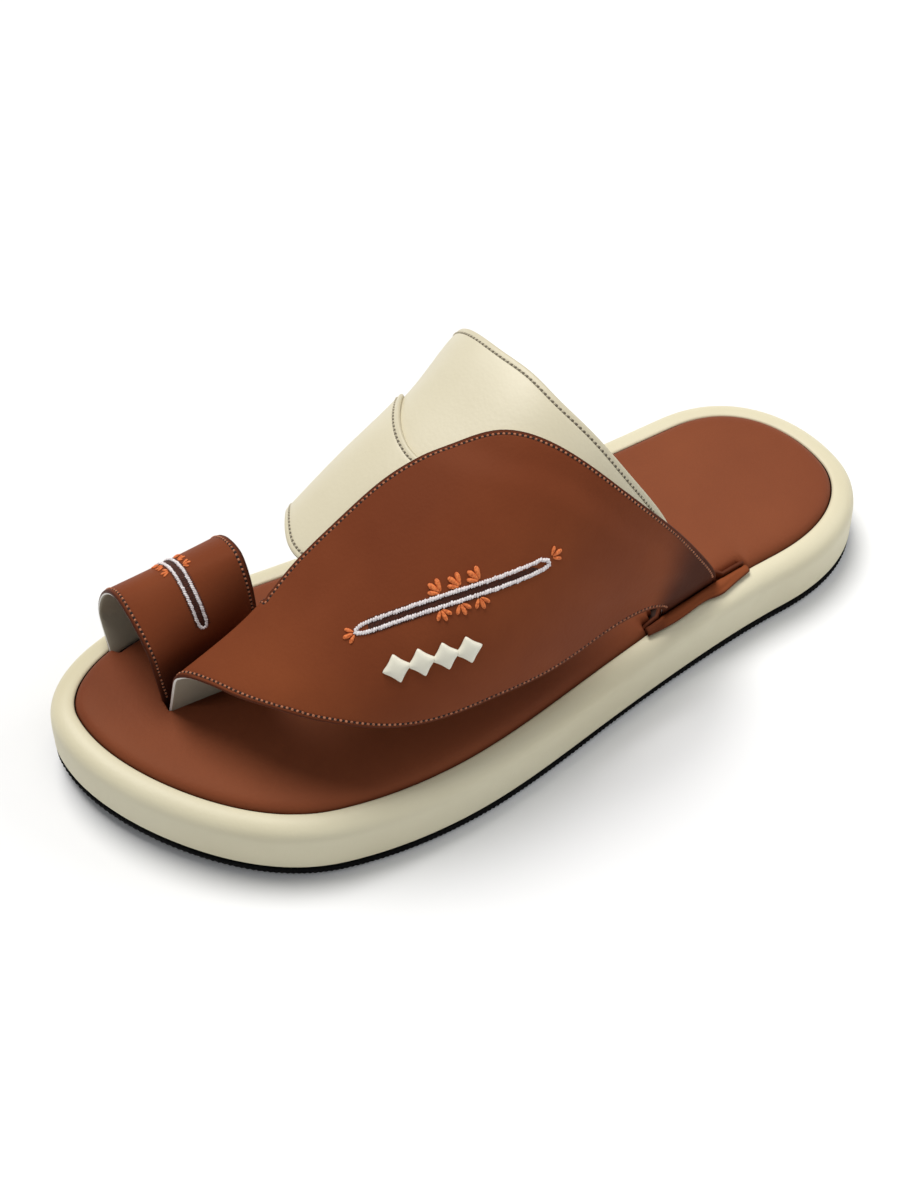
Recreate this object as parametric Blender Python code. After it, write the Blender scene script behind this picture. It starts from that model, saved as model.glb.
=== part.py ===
"""Arabic sandal for the left foot: a thick wrapped sole, a leaf vamp with a toe ring and two instep straps.

Metres, +Z up. The toe points to -Y, the heel to +Y and the outer side of the foot to +X.
The sole stands on Z = 0.
The tables use the foot's own line as X = 0. An empty moves the finished sandal so that its box is centred.
"""
import math

import bmesh
import bpy
import numpy as np
from mathutils import Vector

# Sole
LENGTH = 0.290
TOE_APEX_X = -0.0145
HEEL_APEX_X = 0.006
TOE_ROUND_SHARE = 0.23
TOE_ROUND_POWER = 2.3
HEEL_ROUND_SHARE = 0.16
HEEL_ROUND_POWER = 2.2
TOE_SPRING = 0.0053
TOE_SPRING_SHARE = 0.30
ARCH_RISE = 0.001
ARCH_START_Y = -0.005
ARCH_END_Y = 0.075
FIT_GAP = 0.0003
OUTSOLE_THICK = 0.003
RIM_Z = 0.023
TRAY_Z = 0.0205
TRAY_IN = 0.0084
INSOLE_IN = TRAY_IN + FIT_GAP
INSOLE_CROWN_Z = 0.0266
# Innermost ring of the insole: how far it goes to the middle line, and its share of the length
INSOLE_CROWN_IN = 0.5
INSOLE_CROWN_LENGTH = 0.9
PLAN_POINTS = 600
SOLE_POINTS = 104
INSOLE_POINTS = 160

# Share of the length from toe to heel, reach to the inner side, reach to the outer side
SOLE_PLAN = (
    (0.00, 0.0510, 0.0385),
    (0.12, 0.0503, 0.0540),
    (0.25, 0.0482, 0.0645),
    (0.40, 0.0452, 0.0655),
    (0.55, 0.0425, 0.0570),
    (0.70, 0.0406, 0.0477),
    (0.85, 0.0417, 0.0417),
    (1.00, 0.0420, 0.0417),
)

# Edge of the outsole from the ground up: distance in from the outline, height
OUTSOLE_PROFILE = (
    (0.0012, 0.0000),
    (0.0007, 0.0007),
    (0.0007, OUTSOLE_THICK),
)

# Wall of the wrapped sole from its foot over the rim to the tray: distance in from the outline, height
MIDSOLE_PROFILE = (
    (0.0010, OUTSOLE_THICK + FIT_GAP),
    (0.0000, 0.0055),
    (0.0000, 0.0165),
    (0.0005, 0.0192),
    (0.0020, 0.0213),
    (0.0042, 0.0226),
    (0.0070, RIM_Z),
    (TRAY_IN, RIM_Z - 0.0006),
    (TRAY_IN, TRAY_Z),
)

# Padded insole from its underside to its crown: distance in from its own edge, height
INSOLE_PROFILE = (
    (0.0000, TRAY_Z + FIT_GAP),
    (0.0000, 0.0228),
    (0.0007, 0.0239),
    (0.0026, 0.0250),
    (0.0070, 0.0258),
)

# Upper: the last that every strap lies on, a row for each section across the foot
# Y, crest X and Z, widest point of the outer side X and Z, widest point of the inner side X and Z
LAST = (
    (-0.112, 0.002, 0.046, 0.038, 0.030, -0.026, 0.034),
    (-0.085, 0.002, 0.062, 0.047, 0.034, -0.028, 0.040),
    (-0.060, 0.000, 0.078, 0.053, 0.038, -0.031, 0.047),
    (-0.030, -0.006, 0.095, 0.055, 0.040, -0.037, 0.057),
    (0.000, -0.013, 0.108, 0.051, 0.040, -0.044, 0.064),
    (0.020, -0.018, 0.116, 0.046, 0.040, -0.051, 0.069),
    (0.050, -0.020, 0.119, 0.040, 0.038, -0.050, 0.070),
    (0.090, -0.020, 0.121, 0.033, 0.034, -0.044, 0.068),
)
FOOT_Z = TRAY_Z + FIT_GAP
OUTER_FOOT_IN = 0.0128
INNER_FOOT_IN = 0.00905
ROUNDNESS = 2.4
ARCH_POINTS = 60
LEG_POINTS = 24
LEATHER = 0.0018
LAYER_GAP = 0.0005

# Leaf vamp: its lower edge and its upper edge, from the tip between the toes to the outer keeper
# lower edge Y, share of the section from the outer foot, upper edge Y, share of the section
LEAF = (
    (-0.1065, 0.485, -0.1080, 0.500),
    (-0.1010, 0.425, -0.1000, 0.506),
    (-0.0960, 0.362, -0.0920, 0.512),
    (-0.0900, 0.312, -0.0840, 0.518),
    (-0.0810, 0.258, -0.0740, 0.530),
    (-0.0710, 0.217, -0.0620, 0.547),
    (-0.0580, 0.175, -0.0460, 0.545),
    (-0.0420, 0.143, -0.0280, 0.533),
    (-0.0250, 0.126, -0.0110, 0.503),
    (-0.0070, 0.104, 0.0050, 0.455),
    (0.0120, 0.085, 0.0190, 0.378),
    (0.0300, 0.078, 0.0350, 0.285),
    (0.0425, 0.066, 0.0520, 0.195),
    (0.0480, 0.050, 0.0640, 0.118),
    (0.0505, 0.030, 0.0720, 0.055),
    (0.0515, 0.010, 0.0750, 0.010),
)
RING_ROW = 4
RING_STEPS = 10
LEAF_STEPS = 24
LEAF_COLUMNS = 12

# Toe ring, its front and rear edge: Y at the near foot, crest and far foot, then the arch of the edge
# crest X and Z, widest point of the near side X and Z, widest point of the far side X and Z, roundness
RING = (
    (-0.1100, -0.1135, -0.1170, -0.0264, 0.0574, -0.0083, 0.0438, -0.0430, 0.0350, 1.70),
    (-0.0742, -0.0742, -0.0770, -0.0170, 0.0718, -0.0085, 0.0500, -0.0405, 0.0400, 1.85),
)
POST_X = -0.006
POST_TURN = 0.0016
RING_FOOT_IN = 0.0105
RING_END_SHARE = 0.993
FLAP_COLUMNS = 4
TURN_COLUMNS = 4
RING_COLUMNS = 18
POST_SLOT_X = (-0.0082, -0.0003)
POST_SLOT_Y = (-0.1120, -0.0720)
POST_SLOT_Z = (TRAY_Z - 0.005, INSOLE_CROWN_Z + 0.010)

# Instep straps: share of the section, front edge Y, rear edge Y of the front strap,
# rear edge Y of the rear strap
STRAPS = (
    (0.010, 0.0540, 0.0620, 0.0700),
    (0.060, 0.0500, 0.0580, 0.0650),
    (0.130, 0.0360, 0.0470, 0.0580),
    (0.200, 0.0160, 0.0330, 0.0520),
    (0.290, -0.0100, 0.0170, 0.0410),
    (0.360, -0.0300, 0.0050, 0.0330),
    (0.420, -0.0440, -0.0060, 0.0270),
    (0.470, -0.0530, -0.0130, 0.0240),
    (0.530, -0.0600, -0.0180, 0.0200),
    (0.600, -0.0615, -0.0155, 0.0180),
    (0.670, -0.0570, -0.0070, 0.0195),
    (0.750, -0.0510, -0.0035, 0.0250),
    (0.830, -0.0460, -0.0040, 0.0340),
    (0.900, -0.0430, -0.0070, 0.0450),
    (0.985, -0.0420, -0.0090, 0.0530),
)
STRAP_OUT = -LAYER_GAP / 2
STRAP_STEP = 0.0015
STRAP_IN = -0.0033
STRAP_THIN_IN = -0.0019
STRAP_THIN_SHARE = 0.15
STEP_RAMP = 0.0005
STRAP_ROWS = 38
FRONT_COLUMNS = 6
REAR_COLUMNS = 5
ARCH_HOLE_Y = 0.009
ARCH_HOLE_HALF = 0.018
ARCH_HOLE_TOP = 0.046
ARCH_HOLE_X = (-0.070, -0.020)
ARCH_HOLE_SILL = 0.004
ARCH_HOLE_POINTS = 24

# Keepers: a folded tab on each side that holds the ends of the straps in its slot
KEEPER_LEATHER = 0.0013
KEEPER_Y = (0.047, 0.087)
KEEPER_TOP_Z = 0.0280
KEEPER_INNER_Z = 0.0285
KEEPER_END_Z = 0.0255
KEEPER_STEPS = 14
KEEPER_FOLD = 0.0019
SKIRT_CELLS = 2
SKIRT_CLEAR = 0.0012
# Flap of the outer keeper that folds out over the rim: share along the keeper, reach from its lip
SKIRT = (
    (0.00, 0.0026),
    (0.12, 0.0050),
    (0.30, 0.0066),
    (0.55, 0.0050),
    (0.80, 0.0034),
    (1.00, 0.0026),
)
TAB_LEATHER = 0.0016
TAB_Y = (0.023, 0.058)
TAB_TOP_Z = 0.044
TAB_INNER_Z = 0.0275
TAB_END_Z = 0.0245
TAB_STEPS = 16
LIP_CELLS = 3
FLOOR_CELLS = 2

# Where the edge of the insole steps in to let leather down to the tray: side, first Y, last Y, depth
TUCKS = (
    (1, KEEPER_Y[0], KEEPER_Y[1], 0.0078),
    (-1, TAB_Y[0], TAB_Y[1], 0.0058),
    (-1, -0.0425, -0.0085, 0.0040),
    (-1, -0.1240, -0.0765, 0.0031),
)
TUCK_CLEAR = 0.004
TUCK_RAMP = 0.004

# Diamond studs on the leaf: Y, share of the section
DIAMONDS = (
    (-0.0510, 0.273),
    (-0.0437, 0.262),
    (-0.0364, 0.251),
    (-0.0291, 0.240),
)
DIAMOND_HALF = 0.0041
DIAMOND_WAIST = 0.0024
DIAMOND_THICK = 0.0010
DIAMOND_CROWN = 0.0005
DIAMOND_POINTS = 16
DIAMOND_SPREAD = 0.18

# Centre of the finished sandal's box on the foot's line
BOX_CENTRE_X = 0.0082

BROWN = (0.220, 0.074, 0.033, 1.0)
CREAM = (0.730, 0.690, 0.560, 1.0)
BLACK = (0.012, 0.012, 0.013, 1.0)


def spline(knots, values, at):
    """Natural cubic curve through the values at the knots, read at one place or an array of places."""
    knots = np.asarray(knots, float)
    values = np.asarray(values, float)
    gap = np.diff(knots)
    count = len(knots)
    matrix = np.eye(count)
    right = np.zeros(count)
    for i in range(1, count - 1):
        matrix[i, i - 1:i + 2] = gap[i - 1], 2 * (gap[i - 1] + gap[i]), gap[i]
        right[i] = 6 * ((values[i + 1] - values[i]) / gap[i] - (values[i] - values[i - 1]) / gap[i - 1])
    bend = np.linalg.solve(matrix, right)
    at = np.clip(at, knots[0], knots[-1])
    i = np.clip(np.searchsorted(knots, at) - 1, 0, count - 2)
    a = (knots[i + 1] - at) / gap[i]
    b = 1 - a
    curve = (a ** 3 - a) * bend[i] + (b ** 3 - b) * bend[i + 1]
    return a * values[i] + b * values[i + 1] + curve * gap[i] ** 2 / 6


def column(table, place):
    return [row[place] for row in table]


def smoothstep(share):
    share = np.clip(share, 0.0, 1.0)
    return share * share * (3 - 2 * share)


def mix(a, b, share):
    return a + (b - a) * share


def plan_x(y, side):
    """X of the sole's outline at Y, on the outer (1) or the inner (-1) side."""
    share = np.clip(np.asarray(y) / LENGTH + 0.5, 0.0, 1.0)
    toe = np.sqrt(1 - (1 - np.minimum(1, share / TOE_ROUND_SHARE)) ** TOE_ROUND_POWER)
    heel = np.sqrt(1 - (1 - np.minimum(1, (1 - share) / HEEL_ROUND_SHARE)) ** HEEL_ROUND_POWER)
    middle = mix(TOE_APEX_X, HEEL_APEX_X, share)
    reach = side * spline(column(SOLE_PLAN, 0), column(SOLE_PLAN, 2 if side > 0 else 1), share)
    return middle + (reach - middle) * toe * heel


def inside_x(y, side, distance):
    """X at Y of the line that runs at a distance inside the outline."""
    reach = 0.001
    slope = (plan_x(y + reach, side) - plan_x(y - reach, side)) / (2 * reach)
    return plan_x(y, side) - side * distance * math.hypot(1, slope)


def toe_lift(y):
    share = np.asarray(y) / LENGTH + 0.5
    return TOE_SPRING * np.clip((TOE_SPRING_SHARE - share) / TOE_SPRING_SHARE, 0, 1) ** 2


def arch_lift(y):
    share = (np.asarray(y) - ARCH_START_Y) / (ARCH_END_Y - ARCH_START_Y)
    return ARCH_RISE * np.sin(math.pi * np.clip(share, 0, 1)) ** 2


def outline(count):
    """Outline points in pairs across the sole, from the toe along the outer side to the heel and back."""
    y = -0.5 * LENGTH * np.cos(np.linspace(0, math.pi, PLAN_POINTS))
    sides = [np.stack([plan_x(y, side), y], 1) for side in (1, -1)]
    steps = [np.linalg.norm(np.diff(line, axis=0), axis=1) for line in sides]
    run = np.concatenate([[0], np.cumsum(steps[0] + steps[1])])
    at = np.linspace(0, run[-1], count // 2 + 1)
    outer, inner = (np.stack([np.interp(at, run, line[:, k]) for k in (0, 1)], 1) for line in sides)
    points = np.concatenate([outer, inner[-2:0:-1]])
    step = np.roll(points, -1, 0) - np.roll(points, 1, 0)
    step /= np.linalg.norm(step, axis=1)[:, None]
    inward = np.stack([-step[:, 1], step[:, 0]], 1)
    return points, inward


def level(points, inward, distance, z):
    """One closed ring of the sole, moved in from the outline and lifted with the toe."""
    flat = points + inward * np.reshape(distance, (-1, 1))
    return np.column_stack([flat, z + toe_lift(flat[:, 1])])


def close_rings(mesh, rings):
    """Skin rings from the bottom to the top and close both ends with a ladder of faces across."""
    loops = [[mesh.verts.new(point) for point in ring] for ring in rings]
    count = len(loops[0])
    for low, high in zip(loops, loops[1:]):
        for i in range(count):
            j = (i + 1) % count
            mesh.faces.new((low[i], low[j], high[j], high[i]))
    for loop, flip in ((loops[0], -1), (loops[-1], 1)):
        half = count // 2
        mesh.faces.new((loop[-1], loop[0], loop[1])[::flip])
        mesh.faces.new((loop[half - 1], loop[half], loop[half + 1])[::flip])
        for i in range(1, half - 1):
            mesh.faces.new((loop[i], loop[i + 1], loop[count - i - 1], loop[count - i])[::flip])


def section(row, roundness, outer_foot, inner_foot):
    """Arch across the foot as a polyline of X and Z, from the outer foot over the crest to the inner foot."""
    crest_x, crest_z, outer_x, outer_z, inner_x, inner_z = row
    turn = np.linspace(0, math.pi / 2, ARCH_POINTS)
    across = np.cos(turn) ** (2 / roundness)
    upward = np.sin(turn) ** (2 / roundness)
    fall = np.linspace(0, 1, LEG_POINTS)
    legs = []
    for wide_x, wide_z, foot_x in ((outer_x, outer_z, outer_foot), (inner_x, inner_z, inner_foot)):
        top_x = crest_x + (wide_x - crest_x) * across[::-1]
        top_z = wide_z + (crest_z - wide_z) * upward[::-1]
        low_x = mix(wide_x, foot_x, smoothstep(fall[1:]))
        low_z = mix(wide_z, FOOT_Z, fall[1:])
        legs.append(np.stack([np.concatenate([top_x, low_x]), np.concatenate([top_z, low_z])], 1))
    return np.concatenate([legs[0][::-1], legs[1][1:]])


def along(line, share):
    """Point at a share of a polyline's length."""
    run = np.concatenate([[0], np.cumsum(np.linalg.norm(np.diff(line, axis=0), axis=1))])
    at = share * run[-1]
    return np.array([np.interp(at, run, line[:, k]) for k in range(line.shape[1])])


def last_section(y):
    row = [spline(column(LAST, 0), column(LAST, k), y) for k in range(1, 7)]
    return section(row, ROUNDNESS, plan_x(y, 1) - OUTER_FOOT_IN, plan_x(y, -1) + INNER_FOOT_IN)


def last_point(y, share):
    x, z = along(last_section(y), share)
    return np.array([x, y, z + toe_lift(y)])


def on_last(y, share, offset):
    """Point at a distance outside the last, with the two directions along its surface and its normal."""
    reach_y, reach_share = 0.001, 0.004
    to_heel = last_point(y + reach_y, share) - last_point(y - reach_y, share)
    to_inner = last_point(y, min(1, share + reach_share)) - last_point(y, max(0, share - reach_share))
    normal = np.cross(to_heel, to_inner)
    to_heel, to_inner, normal = (v / np.linalg.norm(v) for v in (to_heel, to_inner, normal))
    return last_point(y, share) + normal * offset, to_heel, to_inner, normal


def cells(keep):
    rows, columns = keep.shape
    for i in range(rows):
        for j in range(columns):
            if keep[i, j]:
                yield (i, j), (i + 1, j), (i + 1, j + 1), (i, j + 1)


def wall(middle, keep, above, below):
    """Closed wall from a grid of points: kept cells are moved along the surface normal to both faces."""
    sheet = bmesh.new()
    made = {}
    for corners in cells(keep):
        for corner in corners:
            if corner not in made:
                made[corner] = sheet.verts.new(middle[corner])
        sheet.faces.new([made[corner] for corner in corners])
    sheet.normal_update()
    above = np.broadcast_to(above, middle.shape[:2])
    below = np.broadcast_to(below, middle.shape[:2])
    solid = bmesh.new()
    face = {}
    for corner, vert in made.items():
        face[corner] = (
            solid.verts.new(vert.co + vert.normal * float(above[corner])),
            solid.verts.new(vert.co + vert.normal * float(below[corner])),
        )
    edges = {}
    for corners in cells(keep):
        solid.faces.new([face[corner][0] for corner in corners])
        solid.faces.new([face[corner][1] for corner in reversed(corners)])
        for start, end in zip(corners, corners[1:] + corners[:1]):
            if (end, start) in edges:
                del edges[(end, start)]
            else:
                edges[(start, end)] = True
    for start, end in edges:
        solid.faces.new((face[end][0], face[start][0], face[start][1], face[end][1]))
    sheet.free()
    return solid


def material(name, color, roughness):
    made = bpy.data.materials.new(name)
    made.use_nodes = True
    shader = made.node_tree.nodes["Principled BSDF"]
    shader.inputs["Base Color"].default_value = color
    shader.inputs["Roughness"].default_value = roughness
    return made


def part(name, solid, look, parent, smooth_angle=math.radians(40)):
    """Named object from a closed mesh, shaded smooth except at its edges."""
    bmesh.ops.recalc_face_normals(solid, faces=solid.faces)
    mesh = bpy.data.meshes.new(name)
    solid.to_mesh(mesh)
    solid.free()
    mesh.shade_smooth()
    mesh.set_sharp_from_angle(angle=smooth_angle)
    mesh.materials.append(look)
    made = bpy.data.objects.new(name, mesh)
    bpy.context.collection.objects.link(made)
    made.parent = parent
    return made


def cut(target, name, solid, parent):
    """Cut a hidden tool out of an object."""
    tool = part(name, solid, target.data.materials[0], parent)
    tool.hide_render = True
    tool.display_type = "WIRE"
    modifier = target.modifiers.new(name, "BOOLEAN")
    modifier.operation = "DIFFERENCE"
    modifier.solver = "EXACT"
    modifier.object = tool


def prism(profile, axis, low, high):
    """Closed prism: a polygon in the two other axes, drawn out along one axis."""
    solid = bmesh.new()
    others = [k for k in range(3) if k != axis]
    rings = []
    for end in (low, high):
        ring = []
        for point in profile:
            place = [0.0, 0.0, 0.0]
            place[axis] = end
            place[others[0]], place[others[1]] = point
            ring.append(solid.verts.new(place))
        rings.append(ring)
    count = len(profile)
    solid.faces.new(rings[0])
    solid.faces.new(rings[1][::-1])
    for i in range(count):
        j = (i + 1) % count
        solid.faces.new((rings[0][i], rings[1][i], rings[1][j], rings[0][j]))
    return solid


def outsole_mesh():
    points, inward = outline(SOLE_POINTS)
    rings = [level(points, inward, np.full(SOLE_POINTS, distance), z) for distance, z in OUTSOLE_PROFILE]
    for ring in rings[:-1]:
        ring[:, 2] += arch_lift(ring[:, 1])
    solid = bmesh.new()
    close_rings(solid, rings)
    return solid


def midsole_mesh():
    points, inward = outline(SOLE_POINTS)
    rings = [level(points, inward, np.full(SOLE_POINTS, distance), z) for distance, z in MIDSOLE_PROFILE]
    solid = bmesh.new()
    close_rings(solid, rings)
    return solid


def tuck_depth(points):
    """How far the insole's edge steps in beside each outline point."""
    x, y = points[:, 0], points[:, 1]
    side = np.where(x > (plan_x(y, 1) + plan_x(y, -1)) / 2, 1, -1)
    depth = np.zeros(len(points))
    for tuck_side, first, last, reach in TUCKS:
        start = (y - first + TUCK_CLEAR + TUCK_RAMP) / TUCK_RAMP
        end = (last + TUCK_CLEAR + TUCK_RAMP - y) / TUCK_RAMP
        inside = np.clip(np.minimum(start, end), 0, 1) * reach
        depth = np.where(side == tuck_side, np.maximum(depth, inside), depth)
    return depth


def insole_mesh():
    points, inward = outline(INSOLE_POINTS)
    edge = INSOLE_IN + tuck_depth(points)
    rings = [level(points, inward, edge + distance, z) for distance, z in INSOLE_PROFILE]
    inner = rings[-1].copy()
    centre = (plan_x(inner[:, 1], 1) + plan_x(inner[:, 1], -1)) / 2
    inner[:, 0] = mix(inner[:, 0], centre, INSOLE_CROWN_IN)
    inner[:, 1] *= INSOLE_CROWN_LENGTH
    inner[:, 2] = INSOLE_CROWN_Z + toe_lift(inner[:, 1])
    rings.append(inner)
    solid = bmesh.new()
    close_rings(solid, rings)
    return solid


def leaf_edges(place):
    """Edges of the leaf at a place counted in table rows: lower Y and share, upper Y and share."""
    rows = np.arange(len(LEAF))
    return [float(spline(rows, column(LEAF, k), place)) for k in range(4)]


def ring_arch(share_back):
    """Arch of the toe ring between its front edge (0) and its rear edge (1)."""
    front, rear = (np.array(row) for row in RING)
    row = mix(front, rear, share_back)
    far_foot = inside_x(row[2], -1, RING_FOOT_IN)
    line = section(row[3:9], row[9], POST_X, far_foot)
    return row[:3], line


def brown_row(place):
    """One row of the vamp: leaf from its lower edge to the fold, flap, turn in the insole and toe ring."""
    low_y, low_share, up_y, up_share = leaf_edges(place)
    row = []
    half = LEATHER / 2 + LAYER_GAP / 2
    for j in range(LEAF_COLUMNS + 1):
        v = j / LEAF_COLUMNS
        row.append(on_last(mix(low_y, up_y, v), mix(low_share, up_share, v), half)[0])
    back = min(1.0, place / RING_ROW)
    (near_y, crest_y, far_y), line = ring_arch(back)
    fold = row[-1]
    turn_z = FOOT_Z + LEATHER / 2 + POST_TURN + toe_lift(near_y)
    flap_end = np.array([POST_X + 2 * POST_TURN, near_y, turn_z])
    for j in range(1, FLAP_COLUMNS + 1):
        row.append(mix(fold, flap_end, j / FLAP_COLUMNS))
    for j in range(1, TURN_COLUMNS):
        angle = math.pi * j / TURN_COLUMNS
        turn_x = POST_X + POST_TURN * (1 + math.cos(angle))
        row.append(np.array([turn_x, near_y, turn_z - POST_TURN * math.sin(angle)]))
    start = (LEATHER / 2 + POST_TURN) / np.linalg.norm(np.diff(line, axis=0), axis=1).sum()
    for j in range(RING_COLUMNS + 1):
        share = mix(start, RING_END_SHARE, j / RING_COLUMNS)
        x, z = along(line, share)
        y = spline((0.0, 0.5, 1.0), (near_y, crest_y, far_y), share)
        row.append(np.array([x, y, z + toe_lift(y)]))
    return row


def vamp_mesh():
    ring_places = np.linspace(0, RING_ROW, RING_STEPS + 1)
    leaf_places = np.linspace(RING_ROW, len(LEAF) - 1, LEAF_STEPS + 1)
    places = np.concatenate([ring_places, leaf_places[1:]])
    middle = np.array([brown_row(place) for place in places])
    keep = np.ones((middle.shape[0] - 1, middle.shape[1] - 1), bool)
    keep[RING_STEPS:, LEAF_COLUMNS:] = False
    return wall(middle, keep, LEATHER / 2, -LEATHER / 2)


def strap_edges(share):
    return [float(spline(column(STRAPS, 0), column(STRAPS, k), share)) for k in (1, 2, 3)]


def straps_mesh():
    shares = np.linspace(STRAPS[0][0], STRAPS[-1][0], STRAP_ROWS)
    rows, above, below = [], [], []
    for share in shares:
        front_y, step_y, rear_y = strap_edges(share)
        full = smoothstep(share / STRAP_THIN_SHARE)
        ys = np.concatenate([
            np.linspace(front_y, step_y, FRONT_COLUMNS + 1),
            np.linspace(step_y + STEP_RAMP, rear_y, REAR_COLUMNS + 1),
        ])
        rows.append([on_last(y, share, 0.0)[0] for y in ys])
        step = np.where(ys > step_y + STEP_RAMP / 2, STRAP_STEP * full, 0.0)
        above.append(STRAP_OUT - step)
        below.append(np.full(len(ys), mix(STRAP_THIN_IN, STRAP_IN, full)))
    middle = np.array(rows).transpose(1, 0, 2)
    keep = np.ones((middle.shape[0] - 1, middle.shape[1] - 1), bool)
    return wall(middle, keep, np.array(above).T, np.array(below).T)


def arch_hole_mesh():
    """Tool for the open arch between the two strap ends on the inner side."""
    profile = []
    for k in range(ARCH_HOLE_POINTS + 1):
        angle = math.pi * k / ARCH_HOLE_POINTS
        rise = (ARCH_HOLE_TOP - FOOT_Z) * math.sin(angle)
        profile.append((ARCH_HOLE_Y + ARCH_HOLE_HALF * math.cos(angle), FOOT_Z + rise))
    sill = FOOT_Z - ARCH_HOLE_SILL
    profile += [(ARCH_HOLE_Y - ARCH_HOLE_HALF, sill), (ARCH_HOLE_Y + ARCH_HOLE_HALF, sill)]
    return prism(profile, 0, *ARCH_HOLE_X)


def share_at_height(y, z, inner):
    """Share of the last's section where its outer or inner leg is at a height."""
    line = last_section(y)
    run = np.concatenate([[0], np.cumsum(np.linalg.norm(np.diff(line, axis=0), axis=1))])
    top = int(np.argmax(line[:, 1]))
    leg = slice(top, None) if inner else slice(None, top)
    heights, runs = line[leg, 1], run[leg]
    if inner:
        heights, runs = heights[::-1], runs[::-1]
    return np.interp(z, heights, runs) / run[-1]


def skirt_points(y, lip_top, reach):
    """Flap that folds out over the rim from the top of the outer lip, from its lower edge to the fold."""
    fold = lip_top + np.array([KEEPER_FOLD, 0.0, -KEEPER_LEATHER / 3])
    crest = lip_top + np.array([KEEPER_FOLD / 2, 0.0, KEEPER_LEATHER / 4])
    edge_x = lip_top[0] + reach
    rim = MIDSOLE_PROFILE[2:8]
    rim_z = np.interp(plan_x(y, 1) - edge_x, column(rim, 0), column(rim, 1))
    edge = np.array([edge_x, y, rim_z + SKIRT_CLEAR])
    return [mix(edge, fold, j / SKIRT_CELLS) for j in range(SKIRT_CELLS + 1)] + [crest]


def folded_tab(ends, steps, inner, offsets, thick, tops, end_z, skirt=None):
    """Folded tab in the tray: an outer lip, a floor and an inner lip, along the foot of the last."""
    rows = []
    floor_z = FOOT_Z + thick / 2
    for k in range(steps + 1):
        place = k / steps
        y = mix(ends[0], ends[1], place)
        round_end = math.sqrt(max(0.0, 1 - (2 * place - 1) ** 4))
        row = []
        for j in range(LIP_CELLS + 1):
            z = mix(mix(end_z, tops[0], round_end), floor_z, j / LIP_CELLS)
            row.append(on_last(y, share_at_height(y, z, inner), offsets[0])[0])
        for j in range(1, FLOOR_CELLS):
            offset = mix(offsets[0], offsets[1], j / FLOOR_CELLS)
            row.append(on_last(y, share_at_height(y, floor_z, inner), offset)[0])
        for j in range(LIP_CELLS + 1):
            z = mix(floor_z, mix(end_z, tops[1], round_end), j / LIP_CELLS)
            row.append(on_last(y, share_at_height(y, z, inner), offsets[1])[0])
        if skirt:
            row = skirt_points(y, row[0], float(spline(column(skirt, 0), column(skirt, 1), place))) + row
        rows.append(row)
    middle = np.array(rows)
    keep = np.ones((middle.shape[0] - 1, middle.shape[1] - 1), bool)
    return wall(middle, keep, thick / 2, -thick / 2)


def keeper_mesh():
    half = KEEPER_LEATHER / 2
    offsets = (LAYER_GAP / 2 + LEATHER + FIT_GAP + half, STRAP_THIN_IN - FIT_GAP - half)
    tops = (KEEPER_TOP_Z, KEEPER_INNER_Z)
    return folded_tab(KEEPER_Y, KEEPER_STEPS, False, offsets, KEEPER_LEATHER, tops, KEEPER_END_Z, SKIRT)


def tab_mesh():
    half = TAB_LEATHER / 2
    offsets = (STRAP_OUT - STRAP_STEP + FIT_GAP + half, STRAP_IN - FIT_GAP - half)
    tops = (TAB_TOP_Z, TAB_INNER_Z)
    return folded_tab(TAB_Y, TAB_STEPS, True, offsets, TAB_LEATHER, tops, TAB_END_Z)


def diamond_mesh(y, share):
    """Pillow with four points and hollow sides that lies on the leaf."""
    base = LAYER_GAP / 2 + LEATHER + FIT_GAP
    centre, to_heel, to_inner, normal = on_last(y, share, base)
    rim = []
    quarter = DIAMOND_POINTS // 4
    for k in range(DIAMOND_POINTS):
        angle = 2 * math.pi * k / DIAMOND_POINTS
        from_waist = abs(k % quarter - quarter // 2)
        reach = mix(DIAMOND_WAIST, DIAMOND_HALF, DIAMOND_SPREAD * from_waist) if k % quarter else DIAMOND_HALF
        rim.append(centre + reach * (math.cos(angle) * to_heel + math.sin(angle) * to_inner))
    solid = bmesh.new()
    low = [solid.verts.new(point) for point in rim]
    high = [solid.verts.new(point + normal * DIAMOND_THICK) for point in rim]
    bottom = solid.verts.new(centre)
    crown = solid.verts.new(centre + normal * (DIAMOND_THICK + DIAMOND_CROWN))
    for i in range(DIAMOND_POINTS):
        j = (i + 1) % DIAMOND_POINTS
        solid.faces.new((low[i], low[j], high[j], high[i]))
        solid.faces.new((low[j], low[i], bottom))
        solid.faces.new((high[i], high[j], crown))
    return solid


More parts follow.
